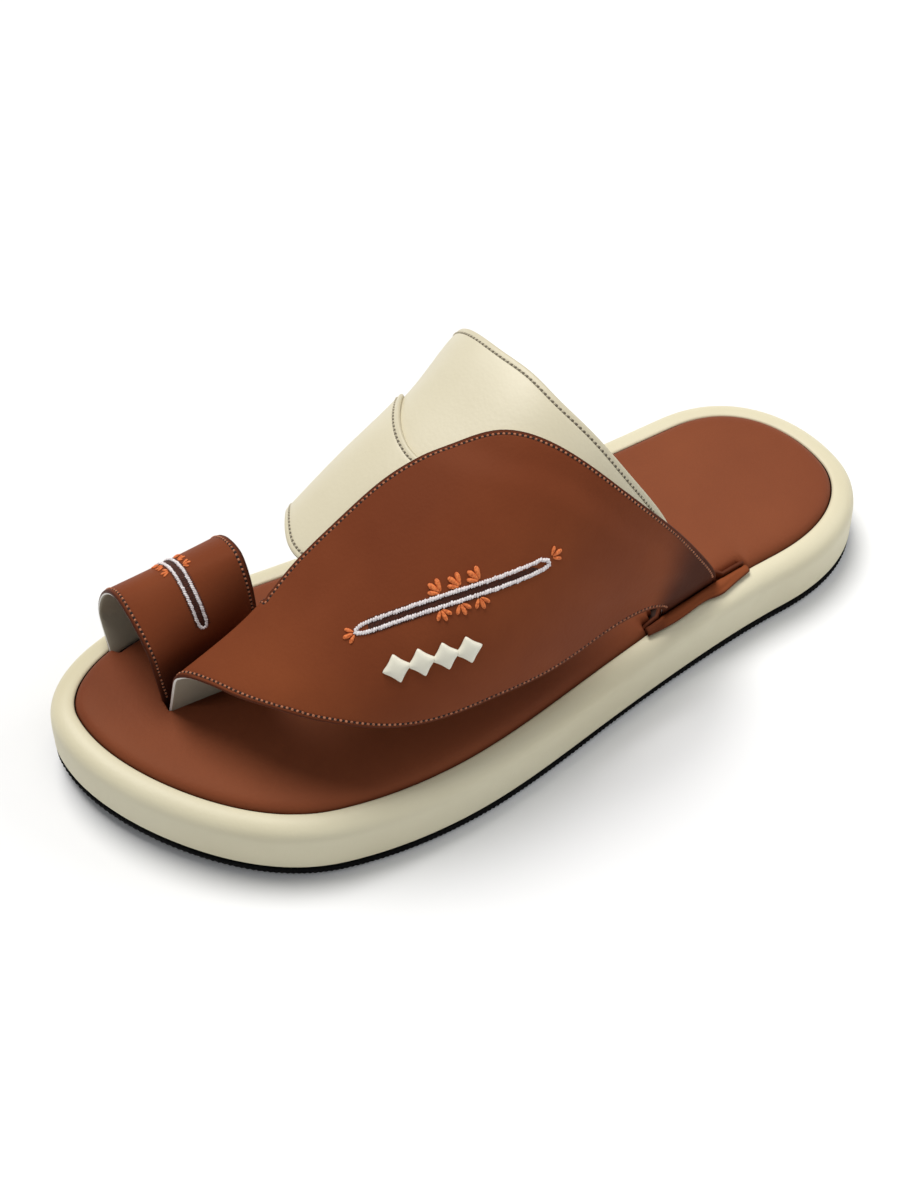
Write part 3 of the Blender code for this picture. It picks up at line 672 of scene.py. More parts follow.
def thread(name, colour, dark, scale=1600.0):
    """Twisted thread: fine light and dark strands."""
    made, nodes, links, shader = new_material(name)
    place = nodes.new("ShaderNodeTexCoord").outputs["Object"]
    strands = nodes.new("ShaderNodeTexNoise")
    strands.inputs["Scale"].default_value = scale
    strands.inputs["Detail"].default_value = 2.0
    links.new(place, strands.inputs["Vector"])
    ramp = nodes.new("ShaderNodeValToRGB")
    ramp.color_ramp.elements[0].position = 0.36
    ramp.color_ramp.elements[0].color = (*dark, 1)
    ramp.color_ramp.elements[1].position = 0.60
    ramp.color_ramp.elements[1].color = (*colour, 1)
    links.new(strands.outputs["Fac"], ramp.inputs["Fac"])
    links.new(ramp.outputs["Color"], shader.inputs["Base Color"])
    relief = nodes.new("ShaderNodeBump")
    relief.inputs["Strength"].default_value = 0.35
    relief.inputs["Distance"].default_value = 0.0002
    links.new(strands.outputs["Fac"], relief.inputs["Height"])
    links.new(relief.outputs["Normal"], shader.inputs["Normal"])
    shader.inputs["Roughness"].default_value = 0.55
    shader.inputs["Specular IOR Level"].default_value = 0.2
    return made


WARM = (1.0, 0.72, 0.52)
# Brown leather; its dark edge colour also paints shade near the keeper and low on the toe ring
BROWN = leather("brown_leather", (0.192, 0.049, 0.019), (0.158, 0.038, 0.015), (0.240, 0.064, 0.023), 0.56,
                burnish_and_shade=(0.052, 0.014, 0.008), specular=0.07, sheen=WARM)
INSOLE_BROWN = leather("insole_leather", (0.200, 0.054, 0.023), (0.165, 0.043, 0.019), (0.232, 0.065, 0.027), 0.56,
                       grain=800.0, bump=0.14, specular=0.15, sheen=WARM)
CREAM = leather("cream_leather", (0.700, 0.650, 0.490), (0.665, 0.612, 0.450), (0.735, 0.690, 0.530), 0.42,
                bump=0.08, burnish_and_shade=(0.610, 0.555, 0.400))
WRAP = leather("midsole_leather", (0.690, 0.640, 0.460), (0.650, 0.595, 0.415), (0.725, 0.680, 0.500), 0.46,
               bump=0.10)
STUD = leather("stud_leather", (0.810, 0.790, 0.665), (0.775, 0.750, 0.625), (0.840, 0.820, 0.705), 0.34, bump=0.05)
BROWN_EDGE = leather("brown_edge_paint", (0.080, 0.020, 0.010), (0.055, 0.014, 0.008), (0.110, 0.030, 0.014), 0.50,
                     bump=0.10, specular=0.10, sheen=WARM)
WHITE_EDGE = leather("lining_cut_edge", (0.800, 0.780, 0.730), (0.740, 0.720, 0.670), (0.850, 0.830, 0.780), 0.55)
CREAM_EDGE = leather("cream_edge_paint", (0.560, 0.510, 0.370), (0.500, 0.450, 0.320), (0.620, 0.570, 0.420), 0.45)
LINING = leather("grey_lining", (0.300, 0.265, 0.205), (0.255, 0.225, 0.170), (0.345, 0.305, 0.240), 0.62, bump=0.2)
TAN_LINING = leather("tan_lining", (0.420, 0.285, 0.165), (0.360, 0.240, 0.135), (0.470, 0.330, 0.200), 0.60, bump=0.2)
RUBBER = leather("outsole_rubber", (0.0045, 0.0045, 0.005), (0.003, 0.003, 0.003), (0.007, 0.007, 0.0075), 0.70,
                 grain=1500.0, bump=0.2, specular=0.05)
# Painted shade: dark colour on the tray floor and wall, so that gaps into the tray look shadowed
TRAY_SHADE = leather("tray_painted_shade", (0.030, 0.012, 0.008), (0.020, 0.009, 0.006), (0.042, 0.017, 0.011), 0.75)
RUST_THREAD = thread("rust_thread", (0.500, 0.200, 0.105), (0.260, 0.085, 0.040))
GREY_THREAD = thread("grey_beige_thread", (0.560, 0.510, 0.390), (0.420, 0.375, 0.275))
WHITE_THREAD = thread("white_thread", (0.880, 0.840, 0.845), (0.620, 0.570, 0.590))
ORANGE_THREAD = thread("orange_thread", (0.830, 0.235, 0.070), (0.520, 0.115, 0.032))
# Painted shade: dark thread for the shade between and beside the embroidered rope
SHADE_THREAD = thread("painted_shade_thread", (0.070, 0.019, 0.010), (0.035, 0.010, 0.006))
# Painted shade of the needle holes, on the cream straps and on the brown leather
STRAP_HOLE_SHADE = leather("strap_needle_hole_painted_shade", (0.150, 0.130, 0.090), (0.120, 0.100, 0.070), (0.180, 0.160, 0.110), 0.80)
NEEDLE_HOLE_SHADE = leather("needle_hole_painted_shade", (0.020, 0.008, 0.005), (0.012, 0.005, 0.004), (0.030, 0.012, 0.008), 0.80)


# Sole
def make_outsole():
    """Rubber sheet with a finely ribbed edge."""
    rib_pitch = 0.0017
    rib_points = 4
    points, _ = outline(400)
    girth = lengths(np.concatenate([points, points[:1]]))[-1]
    count = 2 * int(girth / rib_pitch / 2) * rib_points
    points, inward = outline(count)
    rib = 0.00014 * (1 + np.cos(np.arange(count) * 2 * math.pi / rib_points))
    rows = ((0.0009, 0.0, 0.0), (0.0003, 0.0004, 1.0), (0.0001, 0.0010, 1.0), (0.0001, 0.0029, 1.0), (0.0006, 0.0030, 0.3))
    rings = []
    for distance, z, ribbed in rows:
        ring = level(points, inward, distance + rib * ribbed, z)
        ring[:, 2] += arch_lift(ring[:, 1]) * max(0.0, 1 - z / 0.0028)
        rings.append(ring)
    faces = ring_faces(count, len(rings))
    piece_from("outsole_ribbed", np.concatenate(rings), faces, [RUBBER], replaces=("outsole",))


# Wrinkles of the wrap: side, Y, height of the middle, slope, half width, depth
WRAP_WRINKLES = (
    (1, 0.0420, 0.0170, 0.6, 0.0022, 0.00022),
    (1, 0.0560, 0.0180, -0.5, 0.0026, 0.00026),
    (1, 0.0690, 0.0170, 0.4, 0.0024, 0.00022),
    (1, 0.0880, 0.0180, 0.7, 0.0022, 0.00018),
    (1, -0.0900, 0.0170, -0.8, 0.0028, 0.00016),
    (1, -0.0500, 0.0140, 0.9, 0.0030, 0.00014),
    (-1, 0.0300, 0.0170, 0.6, 0.0024, 0.00022),
    (-1, 0.0520, 0.0170, -0.6, 0.0026, 0.00022),
    (-1, -0.0950, 0.0170, 0.7, 0.0028, 0.00018),
)


def make_midsole():
    """Wrapped core: upright wall, soft shoulder, rim and tray."""
    wall = np.array([
        (0.0011, 0.0033), (0.0003, 0.0042), (0.0000, 0.0065), (0.0000, 0.0115), (0.0001, 0.0160), (0.0005, 0.0190),
        (0.0018, 0.0211), (0.0040, 0.0225), (0.0066, 0.0230), (0.0079, 0.0229),
    ])
    run = lengths(wall)
    at = np.linspace(0, run[-1], 46)
    profile = [(float(a), float(b)) for a, b in zip(spline(run, wall[:, 0], at), spline(run, wall[:, 1], at))]
    profile += [(TRAY_IN - 0.0001, 0.0225), (TRAY_IN, 0.0218), (TRAY_IN, TRAY_Z)]
    count = 900
    points, inward = outline(count)
    rings = []
    for distance, z in profile:
        dent = np.zeros(count)
        for side, y, middle_z, slope, width, depth in WRAP_WRINKLES:
            on_side = points[:, 0] * side > 0
            away = (points[:, 1] - y - slope * (z - middle_z)) / width
            dent += on_side * depth * np.exp(-away ** 2) * math.exp(-((z - middle_z) / 0.0055) ** 2)
        rings.append(level(points, inward, distance + dent, z))
    faces = ring_faces(count, len(rings))
    # The tray's faces get the dark painted shade
    in_tray = [min(face) >= count * (len(rings) - 3) for face in faces]
    piece_from("midsole_wrap", np.concatenate(rings), faces, [WRAP, TRAY_SHADE], in_tray, ("midsole",))


def tuck_depth(points, clear=0.0003, ramp=0.0014):
    x, y = points[:, 0], points[:, 1]
    side = np.where(x > (plan_x(y, 1) + plan_x(y, -1)) / 2, 1, -1)
    depth = np.zeros(len(points))
    for tuck_side, first, last, reach in TUCKS:
        start = (y - first + clear + ramp) / ramp
        end = (last + clear + ramp - y) / ramp
        inside = smoothstep(np.minimum(start, end)) * reach
        depth = np.where(side == tuck_side, np.maximum(depth, inside), depth)
    return depth


# Rolled edge of the insole: distance from its edge, height
INSOLE_ROLL = (
    (0.0000, 0.0221), (0.0002, 0.0229), (0.0005, 0.0235), (0.0010, 0.0242), (0.0018, 0.0248), (0.0030, 0.0253),
    (0.0048, 0.0257), (0.0075, 0.0260), (0.0140, 0.0264), (0.0260, 0.0267), (0.0500, 0.0268),
)


# Rings of the insole near its edge: distance, how steeply they may follow a notch
INSOLE_RINGS = (
    (0.0002, 6.0), (0.0005, 4.5), (0.0010, 3.2), (0.0018, 2.3), (0.0030, 1.6), (0.0048, 1.0), (0.0072, 0.6),
)


def make_insole():
    """Padded footbed with a rolled edge and a slot for the toe post."""
    count = 1200
    points, inward = outline(count)
    edge = INSOLE_IN + tuck_depth(points)
    border = level(points, inward, edge, 0.0)[:, :2]
    dense = resample(np.concatenate([border, border[:1]]), np.linspace(0, lengths(border)[-1], 8 * count))
    tree = kdtree.KDTree(len(dense))
    for k, point in enumerate(dense):
        tree.insert((*point, 0.0), k)
    tree.balance()
    rings = [level(points, inward, edge + 0.0004, FOOT_Z), level(points, inward, edge, 0.0214)]
    step = lengths(points)[-1] / count
    flats = [border]
    for distance, slope in INSOLE_RINGS:
        reach = np.max([np.roll(edge, k) - abs(k) * step * slope for k in range(-24, 25)], axis=0)
        flats.append(points + inward * (reach + distance)[:, None])
    centre = (plan_x(flats[-1][:, 1], 1) + plan_x(flats[-1][:, 1], -1)) / 2
    for k in range(1, 15):
        share = k / 15
        inner = flats[7].copy()
        inner[:, 0] = mix(inner[:, 0], centre, share * 0.92)
        inner[:, 1] *= mix(1.0, 0.86, share)
        flats.append(inner)
    for k, flat in enumerate(flats):
        near = np.array([tree.find((*point, 0.0))[2] for point in flat]) if k else np.zeros(count)
        height = spline(column(INSOLE_ROLL, 0), column(INSOLE_ROLL, 1), near)
        rings.append(np.column_stack([flat, height + toe_lift(flat[:, 1])]))
    made = piece_from("insole_pad", np.concatenate(rings), ring_faces(count, len(rings)), [INSOLE_BROWN],
                      replaces=("insole",))
    cutter = bpy.data.meshes.new("slot_tool")
    low = Vector((-0.0074 - BOX_CENTRE_X, -0.1103, 0.010))
    high = Vector((-0.0014 - BOX_CENTRE_X, -0.0735, 0.045))
    tool = bmesh.new()
    bmesh.ops.create_cube(tool, size=1.0, matrix=Matrix.LocRotScale((low + high) / 2, None, high - low))
    tool.to_mesh(cutter)
    tool.free()
    tool_object = bpy.data.objects.new("slot_tool", cutter)
    bpy.context.scene.collection.objects.link(tool_object)
    cut = made.modifiers.new("slot", "BOOLEAN")
    cut.operation = "DIFFERENCE"
    cut.solver = "EXACT"
    cut.object = tool_object
    bpy.context.view_layer.update()
    done = bpy.data.meshes.new_from_object(made.evaluated_get(bpy.context.evaluated_depsgraph_get()))
    made.modifiers.clear()
    made.data = done
    bpy.data.objects.remove(tool_object)


# Vamp with toe ring
def leaf_row(place):
    """Leaf from its lower to its upper edge at one place along it: Y and share at both edges, width."""
    rows = np.arange(len(LEAF))
    low_y, low_t, up_y, up_t = (float(spline(rows, column(LEAF, k), place)) for k in range(4))
    v = np.linspace(0, 1, 80)
    line, _ = on_last(mix(low_y, up_y, v), mix(low_t, up_t, v), np.full(80, LAYER_GAP / 2 + LEATHER / 2))
    return (low_y, low_t, up_y, up_t), lengths(line)[-1]


def leaf_points(place, distances):
    """Points of a leaf row at distances from its lower edge."""
    (low_y, low_t, up_y, up_t), width = leaf_row(place)
    v = np.asarray(distances) / width
    y = mix(low_y, up_y, v)
    share = mix(low_t, up_t, v)
    behind = smoothstep((y - strap_edges(share)[1]) / SETTLE_RAMP) * smoothstep(share / 0.15)
    points, normals = on_last(y, share, LAYER_GAP / 2 + LEATHER / 2 - LEAF_SETTLE * behind)
    return creased(points, normals, LEAF_CREASES), normals


def ring_line(back):
    """Path of the vamp beyond the fold at a share from the ring's front edge to its rear edge, without the flap."""
    row = mix(np.array(RING[0]), np.array(RING[1]), back)
    near_y, crest_y, far_y = row[:3]
    line = section(row[3:9], row[9], POST_X, float(inside_x(far_y, -1, RING_FOOT_IN)))
    run = lengths(line)
    start = (LEATHER / 2 + POST_TURN) / run[-1]
    share = np.linspace(start, RING_END_SHARE, 220)
    flat = resample(line, share * run[-1])
    y = spline((0.0, 0.5, 1.0), (near_y, crest_y, far_y), share)
    arch = np.stack([flat[:, 0], y, flat[:, 1] + toe_lift(y)], 1)
    turn_z = FOOT_Z + LEATHER / 2 + POST_TURN + toe_lift(near_y)
    angle = np.linspace(0, math.pi, 24)[:-1]
    turn = np.stack([
        POST_X + POST_TURN * (1 + np.cos(angle)), np.full(len(angle), near_y), turn_z - POST_TURN * np.sin(angle),
    ], 1)
    return np.concatenate([turn, arch])


FOLD_ROUND = (0.0036, 0.0016)
LEAF_MIDDLE = 54
RING_COLUMNS = 150


def vamp_row(place):
    """One row of the vamp with the ring: points evenly spread beyond the fold, the fold itself rounded."""
    _, width = leaf_row(place)
    distances = edge_columns(width, LEAF_MIDDLE)
    leaf, _ = leaf_points(place, distances)
    beyond = ring_line(min(1.0, place / RING_ROW))
    flap = mix(leaf[-1], beyond[0], np.linspace(0, 1, 60)[1:-1, None])
    path = np.concatenate([flap, beyond])
    run = lengths(np.concatenate([leaf[-1:], path]))
    steps = np.concatenate([EDGE_STEPS[1:], np.linspace(EDGE_STEPS[-1], run[-1], RING_COLUMNS - 9)[1:]])
    after = resample(np.concatenate([leaf[-1:], path]), steps)
    whole = np.concatenate([leaf, after])
    at = lengths(whole)
    fold = at[len(leaf) - 1]
    reach = mix(*FOLD_ROUND, (place / RING_ROW) ** 2)
    rounded = whole.copy()
    for k in np.where(np.abs(at - fold) < 3 * reach)[0]:
        near = np.linspace(at[k] - 2.5 * reach, at[k] + 2.5 * reach, 41)
        weight = np.exp(-((near - at[k]) / reach) ** 2)
        soft = (resample(whole, near) * weight[:, None]).sum(0) / weight.sum()
        rounded[k] = mix(soft, whole[k], smoothstep(abs(at[k] - fold) / (3 * reach)))
    return rounded


def make_vamp():
    ring_steps = edge_columns(RING_ROW * ROW_LENGTH, 16) / ROW_LENGTH
    leaf_places = np.linspace(RING_ROW, len(LEAF) - 1, 92)[1:]
    leaf_count = len(edge_columns(0.05, LEAF_MIDDLE))
    rows = [vamp_row(place) for place in ring_steps]
    columns = len(rows[0])
    for place in leaf_places:
        _, width = leaf_row(place)
        leaf, _ = leaf_points(place, edge_columns(width, LEAF_MIDDLE))
        rows.append(np.concatenate([leaf, np.repeat(leaf[-1:], columns - leaf_count, 0)]))
    middle = np.array(rows)
    keep = np.ones((middle.shape[0] - 1, middle.shape[1] - 1), bool)
    keep[len(ring_steps) - 1:, leaf_count - 1:] = False
    places = np.concatenate([ring_steps, leaf_places])
    # Painted shade: the leaf darkens towards the keeper, where it goes down into the slot
    shade_and_wear = np.repeat(0.08 + smoothstep((len(LEAF) - 2.6 - places) / 3.2)[:, None], columns, 1)
    # Painted shade low on the toe ring, where little light reaches, with some wear at its foot
    rise = smoothstep((middle[:, leaf_count:, 2] - RING_DARK_Z[0]) / (RING_DARK_Z[1] - RING_DARK_Z[0]))
    shade_and_wear[:, leaf_count:] = np.minimum(shade_and_wear[:, leaf_count:], RING_DARK + rise)
    outer, normals, distance = panel("vamp", middle, keep, LEATHER, [BROWN, BROWN_EDGE, LINING, WHITE_EDGE],
                                     ("vamp_and_toe_ring",), LEAF_SEAM_IN, shade_and_wear=shade_and_wear)
    runs = []
    for places in seam_paths(distance, keep, LEAF_SEAM_IN):
        line, upright = at_places(outer, places), unit(at_places(normals, places))
        in_keeper = (line[:, 1] > 0.040) & (line[:, 2] < 0.0305)
        in_sole = line[:, 2] < 0.0275 + toe_lift(line[:, 1])
        runs += kept_runs(line, upright, ~in_keeper & ~in_sole)
    sew("vamp_stitches", runs, RUST_THREAD, NEEDLE_HOLE_SHADE)
    return outer, normals, ring_steps, leaf_count


# Instep straps
def strap_edges(share):
    return [spline(column(STRAPS, 0), column(STRAPS, k), share) for k in (1, 2, 3)]


def sew_strap(name, middle, keep):
    """Strap panel and the stitches along its edges, above the insole."""
    outer, normals, distance = panel(name, middle, keep, STRAP_LEATHER, [CREAM, CREAM_EDGE, TAN_LINING, CREAM_EDGE],
                                     ("instep_straps",))
    runs = []
    for places in seam_paths(distance, keep, SEAM_IN):
        line, upright = at_places(outer, places), unit(at_places(normals, places))
        runs += kept_runs(line, upright, line[:, 2] > 0.030)
    sew(f"{name}_stitches", runs, GREY_THREAD, STRAP_HOLE_SHADE)


def make_front_strap():
    shares = np.linspace(STRAPS[0][0], STRAPS[-1][0], 170)
    front, step, _ = strap_edges(shares)
    rows = []
    offset = -LAYER_GAP / 2 - STRAP_LEATHER / 2
    for share, first, last in zip(shares, front, step):
        width = last - first
        y = first + edge_columns(width, 22)
        rows.append(creased(*on_last(y, np.full(len(y), share), np.full(len(y), offset)), STRAP_CREASES))
    middle = np.array(rows).transpose(1, 0, 2)
    keep = np.ones((middle.shape[0] - 1, middle.shape[1] - 1), bool)
    sew_strap("strap_front", middle, keep)


def strap_path(share, across):
    """Y of the rear strap at a share of the section, from its lapped front edge to its rear edge."""
    _, step, rear = strap_edges(share)
    lap = mix(-0.0004, STRAP_OVERLAP, smoothstep((share - 0.13) / 0.09))
    return mix(step - lap, rear, across)


def strap_end(across):
    """Share at which the rear strap ends on the inner side: along the open arch, in its lap or in the tab."""
    share = np.linspace(0.6, STRAPS[-1][0], 4000)
    y = strap_path(share, across)
    reach = np.where(y > ARCH_HOLE_Y, ARCH_HOLE_REAR, ARCH_HOLE_FRONT)
    rise = np.clip(1 - ((y - ARCH_HOLE_Y) / reach) ** 2, 0, 1)
    end_z = mix(TAB_HIDDEN_Z, ARCH_HOLE_TOP, rise)
    end_z = np.where(y < ARCH_HOLE_Y, np.maximum(end_z, LAP_HIDDEN_Z), end_z)
    below = on_last(y, share)[0][:, 2] < end_z
    below[-1] = True
    return share[np.argmax(below)]


def make_rear_strap():
    across = np.linspace(0, 1, 161)
    ends = np.array([strap_end(one) for one in across])
    first_share = STRAPS[0][0]
    rows = []
    for b in edge_columns(STRAP_LENGTH, 150) / STRAP_LENGTH:
        usual = mix(first_share, STRAPS[-1][0], b)
        width = strap_path(usual, 1.0) - strap_path(usual, 0.0)
        a = edge_columns(width, 40) / width
        share = mix(first_share, np.interp(a, across, ends), b)
        below_front = (STRAP_LEATHER + 0.00005) * smoothstep(share / 0.15)
        offset = -LAYER_GAP / 2 - STRAP_LEATHER / 2 - below_front
        rows.append(creased(*on_last(strap_path(share, a), share, offset), STRAP_CREASES))
    middle = np.array(rows).transpose(1, 0, 2)
    keep = np.ones((middle.shape[0] - 1, middle.shape[1] - 1), bool)
    sew_strap("strap_rear", middle, keep)


# Folded tabs
def leg_points(y, heights, inner, offset):
    """Points of the last's leg at heights, moved by an offset."""
    i = int(np.clip(round((y - LAST_Y[0]) / (LAST_Y[1] - LAST_Y[0])), 0, len(LAST_Y) - 1))
    z = LAST_POINTS[i, :, 2]
    top = int(np.argmax(z))
    if inner:
        share = np.interp(-np.asarray(heights), -z[top:], LAST_SHARE[top:])
    else:
        share = np.interp(heights, z[:top], LAST_SHARE[:top])
    return on_last(np.full(len(share), y), share, np.full(len(share), offset))[0]


def tab_row(place, ends, inner, offsets, thick, tops, end_z, skirt):
    y = mix(ends[0], ends[1], place)
    floor_z = FOOT_Z + thick / 2
    inner_offset = np.interp(y, column(KEEPER_INNER, 0), column(KEEPER_INNER, 1)) if skirt else offsets[1]
    round_end = math.sqrt(max(0.0, 1 - (2 * place - 1) ** 4))
    outer_z = np.linspace(mix(end_z, tops[0], round_end), floor_z, 30)
    inner_end_z = floor_z + 0.0004 if skirt and place < 0.5 else end_z
    inner_z = np.linspace(floor_z, mix(inner_end_z, tops[1], round_end), 20)
    row = [leg_points(y, outer_z, inner, offsets[0])]
    low_out = row[0][-1]
    inner_lip = leg_points(y, inner_z, inner, inner_offset)
    row.append(mix(low_out, inner_lip[0], np.linspace(0, 1, 12)[1:-1, None]))
    row.append(inner_lip)
    if skirt:
        lip_top = row[0][0]
        reach = float(spline(column(skirt, 0), column(skirt, 1), place))
        fold = lip_top + np.array([KEEPER_FOLD, 0, -KEEPER_LEATHER / 3])
        crest = lip_top + np.array([KEEPER_FOLD / 2, 0, KEEPER_LEATHER / 4])
        rim = ((0.0000, 0.0165), (0.0005, 0.0192), (0.0020, 0.0213), (0.0042, 0.0226), (0.0070, 0.0230), (0.0084, 0.0224))
        edge_x = lip_top[0] + reach
        rim_z = np.interp(plan_x(y, 1) - edge_x, column(rim, 0), column(rim, 1))
        edge = np.array([edge_x, y, rim_z + SKIRT_CLEAR])
        flap = mix(edge, fold, np.linspace(0, 1, 14)[:, None])
        row.insert(0, np.concatenate([flap, [crest]]))
    return np.concatenate(row)


def make_tab(name, node, ends, inner, offsets, thick, tops, end_z, sewn, skirt=None):
    places = edge_columns(ends[1] - ends[0], 20) / (ends[1] - ends[0])
    rows = []
    for place in places:
        path = tab_row(place, ends, inner, offsets, thick, tops, end_z, skirt)
        run = lengths(path)
        soft = path.copy()
        for k in range(1, len(path) - 1):
            near = np.linspace(run[k] - 0.0012, run[k] + 0.0012, 15)
            soft[k] = resample(path, np.clip(near, 0, run[-1])).mean(0)
        rows.append(resample(soft, edge_columns(lengths(soft)[-1], 36)))
    middle = np.array(rows)
    keep = np.ones((middle.shape[0] - 1, middle.shape[1] - 1), bool)
    shade_and_wear = np.ones(middle.shape[:2])
    # Painted shade: the keeper darkens towards its front end, under the leaf's edge
    if skirt:
        shade_and_wear *= (0.22 + smoothstep((places - 0.10) / 0.25))[:, None]
    outer, normals, distance = panel(name, middle, keep, thick, [BROWN, BROWN_EDGE, BROWN, BROWN_EDGE],
                                     (node,), TAB_SEAM_IN, TAB_EDGE_FADE, shade_and_wear)
    if not sewn:
        return
    runs = []
    for places in seam_paths(distance, keep, TAB_SEAM_IN):
        line, upright = at_places(outer, places), unit(at_places(normals, places))
        runs += kept_runs(line, upright, (upright[:, 0] < -0.2) & (line[:, 2] > 0.027))
    sew(f"{name}_stitches", runs, RUST_THREAD, NEEDLE_HOLE_SHADE)


def make_diamond(number, y, share):
    """Stuffed leather diamond with hollow sides."""
    base = LAYER_GAP / 2 + LEATHER
    centre, normal = on_last(np.array(y), np.array(share), np.array(base))
    ahead, _ = on_last(np.array(y + 0.001), np.array(share), np.array(base))
    to_heel = (ahead - centre) / np.linalg.norm(ahead - centre)
    to_inner = np.cross(normal, to_heel)
    around, rings = 64, 12
    angle = np.arange(around) * 2 * math.pi / around
    spread = (np.abs(np.cos(angle)) ** DIAMOND_HOLLOW + np.abs(np.sin(angle)) ** DIAMOND_HOLLOW) ** (1 / DIAMOND_HOLLOW)
    reach = 1 / (spread ** 9 + DIAMOND_BLUNT ** 9) ** (1 / 9)
    turned = angle - DIAMOND_TURN
    rays = np.outer(np.cos(turned), to_heel) + np.outer(np.sin(turned), to_inner)
    points = [centre + normal * DIAMOND_HEIGHT]
    for k in range(1, rings + 1):
        out = math.sin(0.5 * math.pi * k / rings)
        radius = DIAMOND_HALF * out * mix(reach.mean(), reach, out ** 1.5)
        height = mix(0.0003, DIAMOND_HEIGHT, math.sqrt(max(0.0, 1 - out ** 2.6)))
        points += list(centre + radius[:, None] * rays + normal * height)
    points += list(centre + 0.96 * DIAMOND_HALF * reach[:, None] * rays)
    faces = [(0, 1 + i, 1 + (i + 1) % around) for i in range(around)]
    for k in range(rings):
        for i in range(around):
            j = (i + 1) % around
            faces.append((1 + k * around + i, 1 + (k + 1) * around + i, 1 + (k + 1) * around + j, 1 + k * around + j))
    faces.append(tuple(1 + rings * around + i for i in reversed(range(around))))
    piece_from(f"diamond_pad_{number}", points, faces, [STUD], replaces=(f"diamond_{number}",))


make_outsole()
make_midsole()
make_insole()
vamp_outer, vamp_normals, ring_steps, leaf_columns = make_vamp()
make_front_strap()
make_rear_strap()
keeper_half = KEEPER_LEATHER / 2
make_tab("keeper_fold", "outer_keeper", KEEPER_Y, False,
         (LAYER_GAP / 2 + LEATHER + 0.0003 + keeper_half, -0.0019 - 0.0003 - keeper_half),
         KEEPER_LEATHER, KEEPER_TOPS, KEEPER_END_Z, False, SKIRT)
tab_half = TAB_LEATHER / 2
make_tab("tab_fold", "inner_tab", TAB_Y, True,
         (-LAYER_GAP / 2 - STRAP_LEATHER + 0.0003 + tab_half, -0.0033 - 0.0003 - tab_half),
         TAB_LEATHER, TAB_TOPS, TAB_END_Z, True)
for number, (y, share) in enumerate(DIAMONDS, start=1):
    make_diamond(number, y, share)


# Embroidery
def leaf_surface(places):
    """Points and normals of the leaf's face at places given by Y and share of the section."""
    places = np.asarray(places, float)
    points, normals = on_last(places[:, 0], places[:, 1], np.full(len(places), LAYER_GAP / 2 + LEATHER))
    return creased(points, normals, LEAF_CREASES), normals


def ring_surface(places):
    """Points and normals of the ring's face, by share from front to rear edge and share along the strap."""
    places = np.asarray(places, float)
    ring = vamp_outer[:len(ring_steps), leaf_columns - 1:]
    upright = vamp_normals[:len(ring_steps), leaf_columns - 1:]
    run = lengths(ring[len(ring_steps) // 2])
    rows = np.interp(places[:, 0] * RING_ROW, ring_steps, np.arange(len(ring_steps)))
    columns = np.interp(places[:, 1] * run[-1], run, np.arange(len(run)))
    at = np.stack([rows, columns], 1)
    return at_places(ring, at), unit(at_places(upright, at))


def rope(line, normals, scale):
    """Raised line of close slanted stitches of slightly uneven size."""
    centres, along, normal = evenly(line, normals, 0.00084 * scale)
    uneven = np.random.default_rng(7).uniform(-1, 1, (len(centres), 3))
    side = np.cross(normal, along)
    turn = (1.0 + 0.2 * uneven[:, 0])[:, None]
    slant = along * np.cos(turn) + side * np.sin(turn)
    centres = centres + normal * 0.0002 + side * (0.0001 * scale * uneven[:, 1:2])
    sizes = np.array([0.00078, 0.00047, 0.00054]) * scale * (1 + 0.13 * uneven[:, 2:3])
    return beads(centres, slant, normal, sizes)


def fill(first, second, normals):
    """Flat dark stitches between two lines and a little past them: painted shade between and beside the rope."""
    # The stitches reach past the rope on both sides, a fringe of painted shade
    half = np.linalg.norm(second - first, axis=1) / 2 + 0.0013
    sizes = np.stack([half, np.full(len(half), 0.00046), np.full(len(half), 0.00012)], 1)
    return beads((first + second) / 2, second - first, normals, sizes)


def sprig(base, outward, normal, petals):
    """Fan of petals: angle in degrees and length of each."""
    side = np.cross(normal, outward)
    centres, along, sizes = [], [], []
    for angle, length in petals:
        angle = math.radians(angle)
        way = outward * math.cos(angle) + side * math.sin(angle)
        centres.append(base + way * (0.0006 + length / 2) + normal * 0.00015)
        along.append(way)
        sizes.append((length / 2, 0.19 * length, 0.13 * length))
    return beads(np.array(centres), np.array(along), np.repeat(normal[None], len(petals), 0), np.array(sizes), 0.35)


UPPER_PETALS = ((-8, 0.0044), (26, 0.0046), (58, 0.0038))
LOWER_PETALS = ((-38, 0.0034), (0, 0.0038), (36, 0.0034))
END_PETALS = ((-40, 0.0032), (0, 0.0038), (40, 0.0032))


def embroider(name, surface, loop, rails, sprigs, scale):
    """Closed loop of rope, dark stitches of painted shade inside it and orange sprigs beside it."""
    corners = np.array(loop + loop[:1], float)
    dense = np.concatenate([mix(a, b, np.linspace(0, 1, 60)[:-1, None]) for a, b in zip(corners[:-1], corners[1:])])
    line, normals = surface(np.concatenate([dense, corners[:1]]))
    parts = [(*rope(line, normals, scale), 0)]
    first, _ = surface(rails[0])
    second, upright = surface(rails[1])
    parts.append((*fill(first, second, upright), 1))
    for base, towards, petals in sprigs:
        (start, end), (normal, _) = surface([base, towards])
        outward = unit((end - start) - normal * ((end - start) @ normal))
        parts.append((*sprig(start, outward, normal, petals), 2))
    points, faces, looks = join(parts)
    piece_from(name, points, faces, [WHITE_THREAD, SHADE_THREAD, ORANGE_THREAD], looks)


def rails_between(a, b, c, d, count):
    """Places along two facing sides, from a to b and from c to d."""
    share = np.linspace(0.02, 0.98, count)[:, None]
    return mix(np.array(a), np.array(b), share), mix(np.array(c), np.array(d), share)


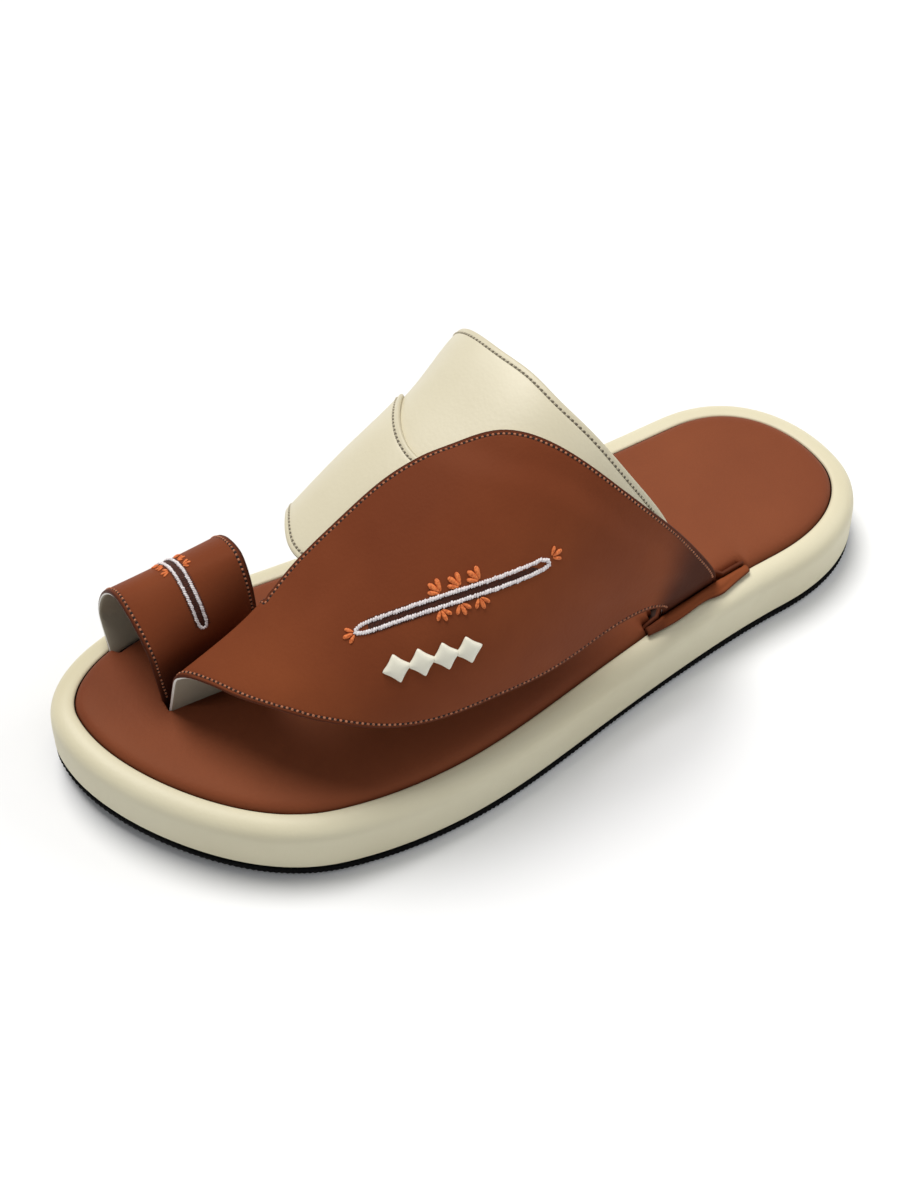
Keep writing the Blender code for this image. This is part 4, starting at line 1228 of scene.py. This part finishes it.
def embroider_leaf():
    loop = [(0.0036, 0.2735), (0.0012, 0.2830), (-0.0030, 0.2890), (-0.0540, 0.3637), (-0.0562, 0.3640),
            (-0.0576, 0.3602), (-0.0570, 0.3550), (-0.0548, 0.3490), (0.0010, 0.2700), (0.0034, 0.2690)]
    rails = rails_between((-0.0548, 0.3490), (0.0010, 0.2700), (-0.0540, 0.3637), (-0.0030, 0.2890), 86)
    sprigs = []
    for y in (-0.0310, -0.0250, -0.0190):
        share = 0.2890 + (0.3608 - 0.2890) * (-0.0030 - y) / 0.0490
        sprigs.append(((y, share + 0.003), (y - 0.0003, share + 0.020), UPPER_PETALS))
    for y in (-0.0330, -0.0270, -0.0210):
        share = 0.2700 + (0.3500 - 0.2700) * (0.0010 - y) / 0.0550
        sprigs.append(((y, share - 0.003), (y + 0.0003, share - 0.020), LOWER_PETALS))
    sprigs.append(((-0.0575, 0.3580), (-0.0630, 0.3630), END_PETALS))
    sprigs.append(((0.0045, 0.2745), (0.0100, 0.2710), END_PETALS))
    embroider("leaf_embroidery", leaf_surface, loop, rails, sprigs, 1.0)


def embroider_ring():
    near, far = 0.478, 0.868
    front, rear = 0.482, 0.554
    loop = [(0.508, near), (0.490, near + 0.006), (front, near + 0.018), (front, far - 0.018), (0.490, far - 0.006),
            (0.508, far), (0.528, far), (0.546, far - 0.006), (rear, far - 0.018), (rear, near + 0.018),
            (0.546, near + 0.006), (0.528, near)]
    rails = rails_between((front, near), (front, far), (rear, near), (rear, far), 70)
    petals = [(angle, 0.7 * length) for angle, length in LOWER_PETALS]
    sprigs = []
    for along in (0.640, 0.673, 0.706):
        sprigs.append(((front - 0.012, along), (front - 0.080, along), petals))
        sprigs.append(((rear + 0.012, along), (rear + 0.080, along), petals))
    embroider("ring_embroidery", ring_surface, loop, rails, sprigs, 0.8)


embroider_leaf()
embroider_ring()


# Stage, light and camera
def make_stage():
    made, nodes, links, shader = new_material("pale_floor")
    place = nodes.new("ShaderNodeTexCoord").outputs["Object"]
    noise = nodes.new("ShaderNodeTexNoise")
    noise.inputs["Scale"].default_value = 3.0
    links.new(place, noise.inputs["Vector"])
    ramp = nodes.new("ShaderNodeValToRGB")
    ramp.color_ramp.elements[0].color = (0.850, 0.865, 0.885, 1)
    ramp.color_ramp.elements[1].color = (0.890, 0.905, 0.925, 1)
    links.new(noise.outputs["Fac"], ramp.inputs["Fac"])
    links.new(ramp.outputs["Color"], shader.inputs["Base Color"])
    shader.inputs["Roughness"].default_value = 0.7
    mesh = bpy.data.meshes.new("floor")
    mesh.from_pydata([(-30, -30, 0), (30, -30, 0), (30, 30, 0), (-30, 30, 0)], [], [(0, 1, 2, 3)])
    mesh.materials.append(made)
    floor = bpy.data.objects.new("floor", mesh)
    bpy.context.scene.collection.objects.link(floor)


def studio_light(kind, name, place, power, size, colour=(1, 1, 1)):
    """Soft light aimed at the sandal. The size is the width of a disk, or the angle of a far light."""
    data = bpy.data.lights.new(name, kind)
    if kind == "AREA":
        data.shape = "DISK"
        data.size = size
    else:
        data.angle = size
    data.energy = power
    data.color = colour
    lamp = bpy.data.objects.new(name, data)
    bpy.context.scene.collection.objects.link(lamp)
    lamp.location = place
    lamp.rotation_euler = (LIGHT_TARGET - Vector(place)).to_track_quat("-Z", "Y").to_euler()


LIGHT_TARGET = Vector((0, 0, 0.03))
CAMERA_AZIMUTH = math.radians(61.68)
CAMERA_ELEVATION = math.radians(51.44)
CAMERA_ROLL = math.radians(-0.31)
CAMERA_DISTANCE = 0.8452
CAMERA_LENS = 76.0
CAMERA_TARGET = Vector((-0.00719, -0.00559, 0.030))


def make_camera():
    back = Vector((math.sin(CAMERA_AZIMUTH) * math.cos(CAMERA_ELEVATION),
                   -math.cos(CAMERA_AZIMUTH) * math.cos(CAMERA_ELEVATION), math.sin(CAMERA_ELEVATION)))
    right = Vector((0, 0, 1)).cross(back).normalized()
    up = back.cross(right)
    tilt = Matrix.Rotation(CAMERA_ROLL, 3, back)
    right, up = tilt @ right, tilt @ up
    target = Vector((-BOX_CENTRE_X, 0, CAMERA_TARGET.z)) + right * CAMERA_TARGET.x + up * CAMERA_TARGET.y
    data = bpy.data.cameras.new("camera")
    data.lens = CAMERA_LENS
    data.clip_start = 0.01
    camera = bpy.data.objects.new("camera", data)
    bpy.context.scene.collection.objects.link(camera)
    turn = Matrix((right, up, back)).transposed().to_4x4()
    camera.matrix_world = Matrix.Translation(target + back * CAMERA_DISTANCE) @ turn
    bpy.context.scene.camera = camera


def make_world():
    world = bpy.data.worlds.new("studio")
    bpy.context.scene.world = world
    world.use_nodes = True
    world.node_tree.nodes["Background"].inputs["Color"].default_value = (0.98, 0.985, 0.99, 1)
    world.node_tree.nodes["Background"].inputs["Strength"].default_value = 0.31
    bpy.context.scene.view_settings.view_transform = "Standard"


make_stage()
make_world()
studio_light("SUN", "key", (-0.50, -0.05, 1.15), 2.6, math.radians(32), (1.0, 0.97, 0.93))
studio_light("AREA", "fill", (1.0, 0.1, 0.9), 1.4, 1.2)
studio_light("AREA", "rim", (0.1, 1.0, 0.8), 3.4, 0.8)
make_camera()
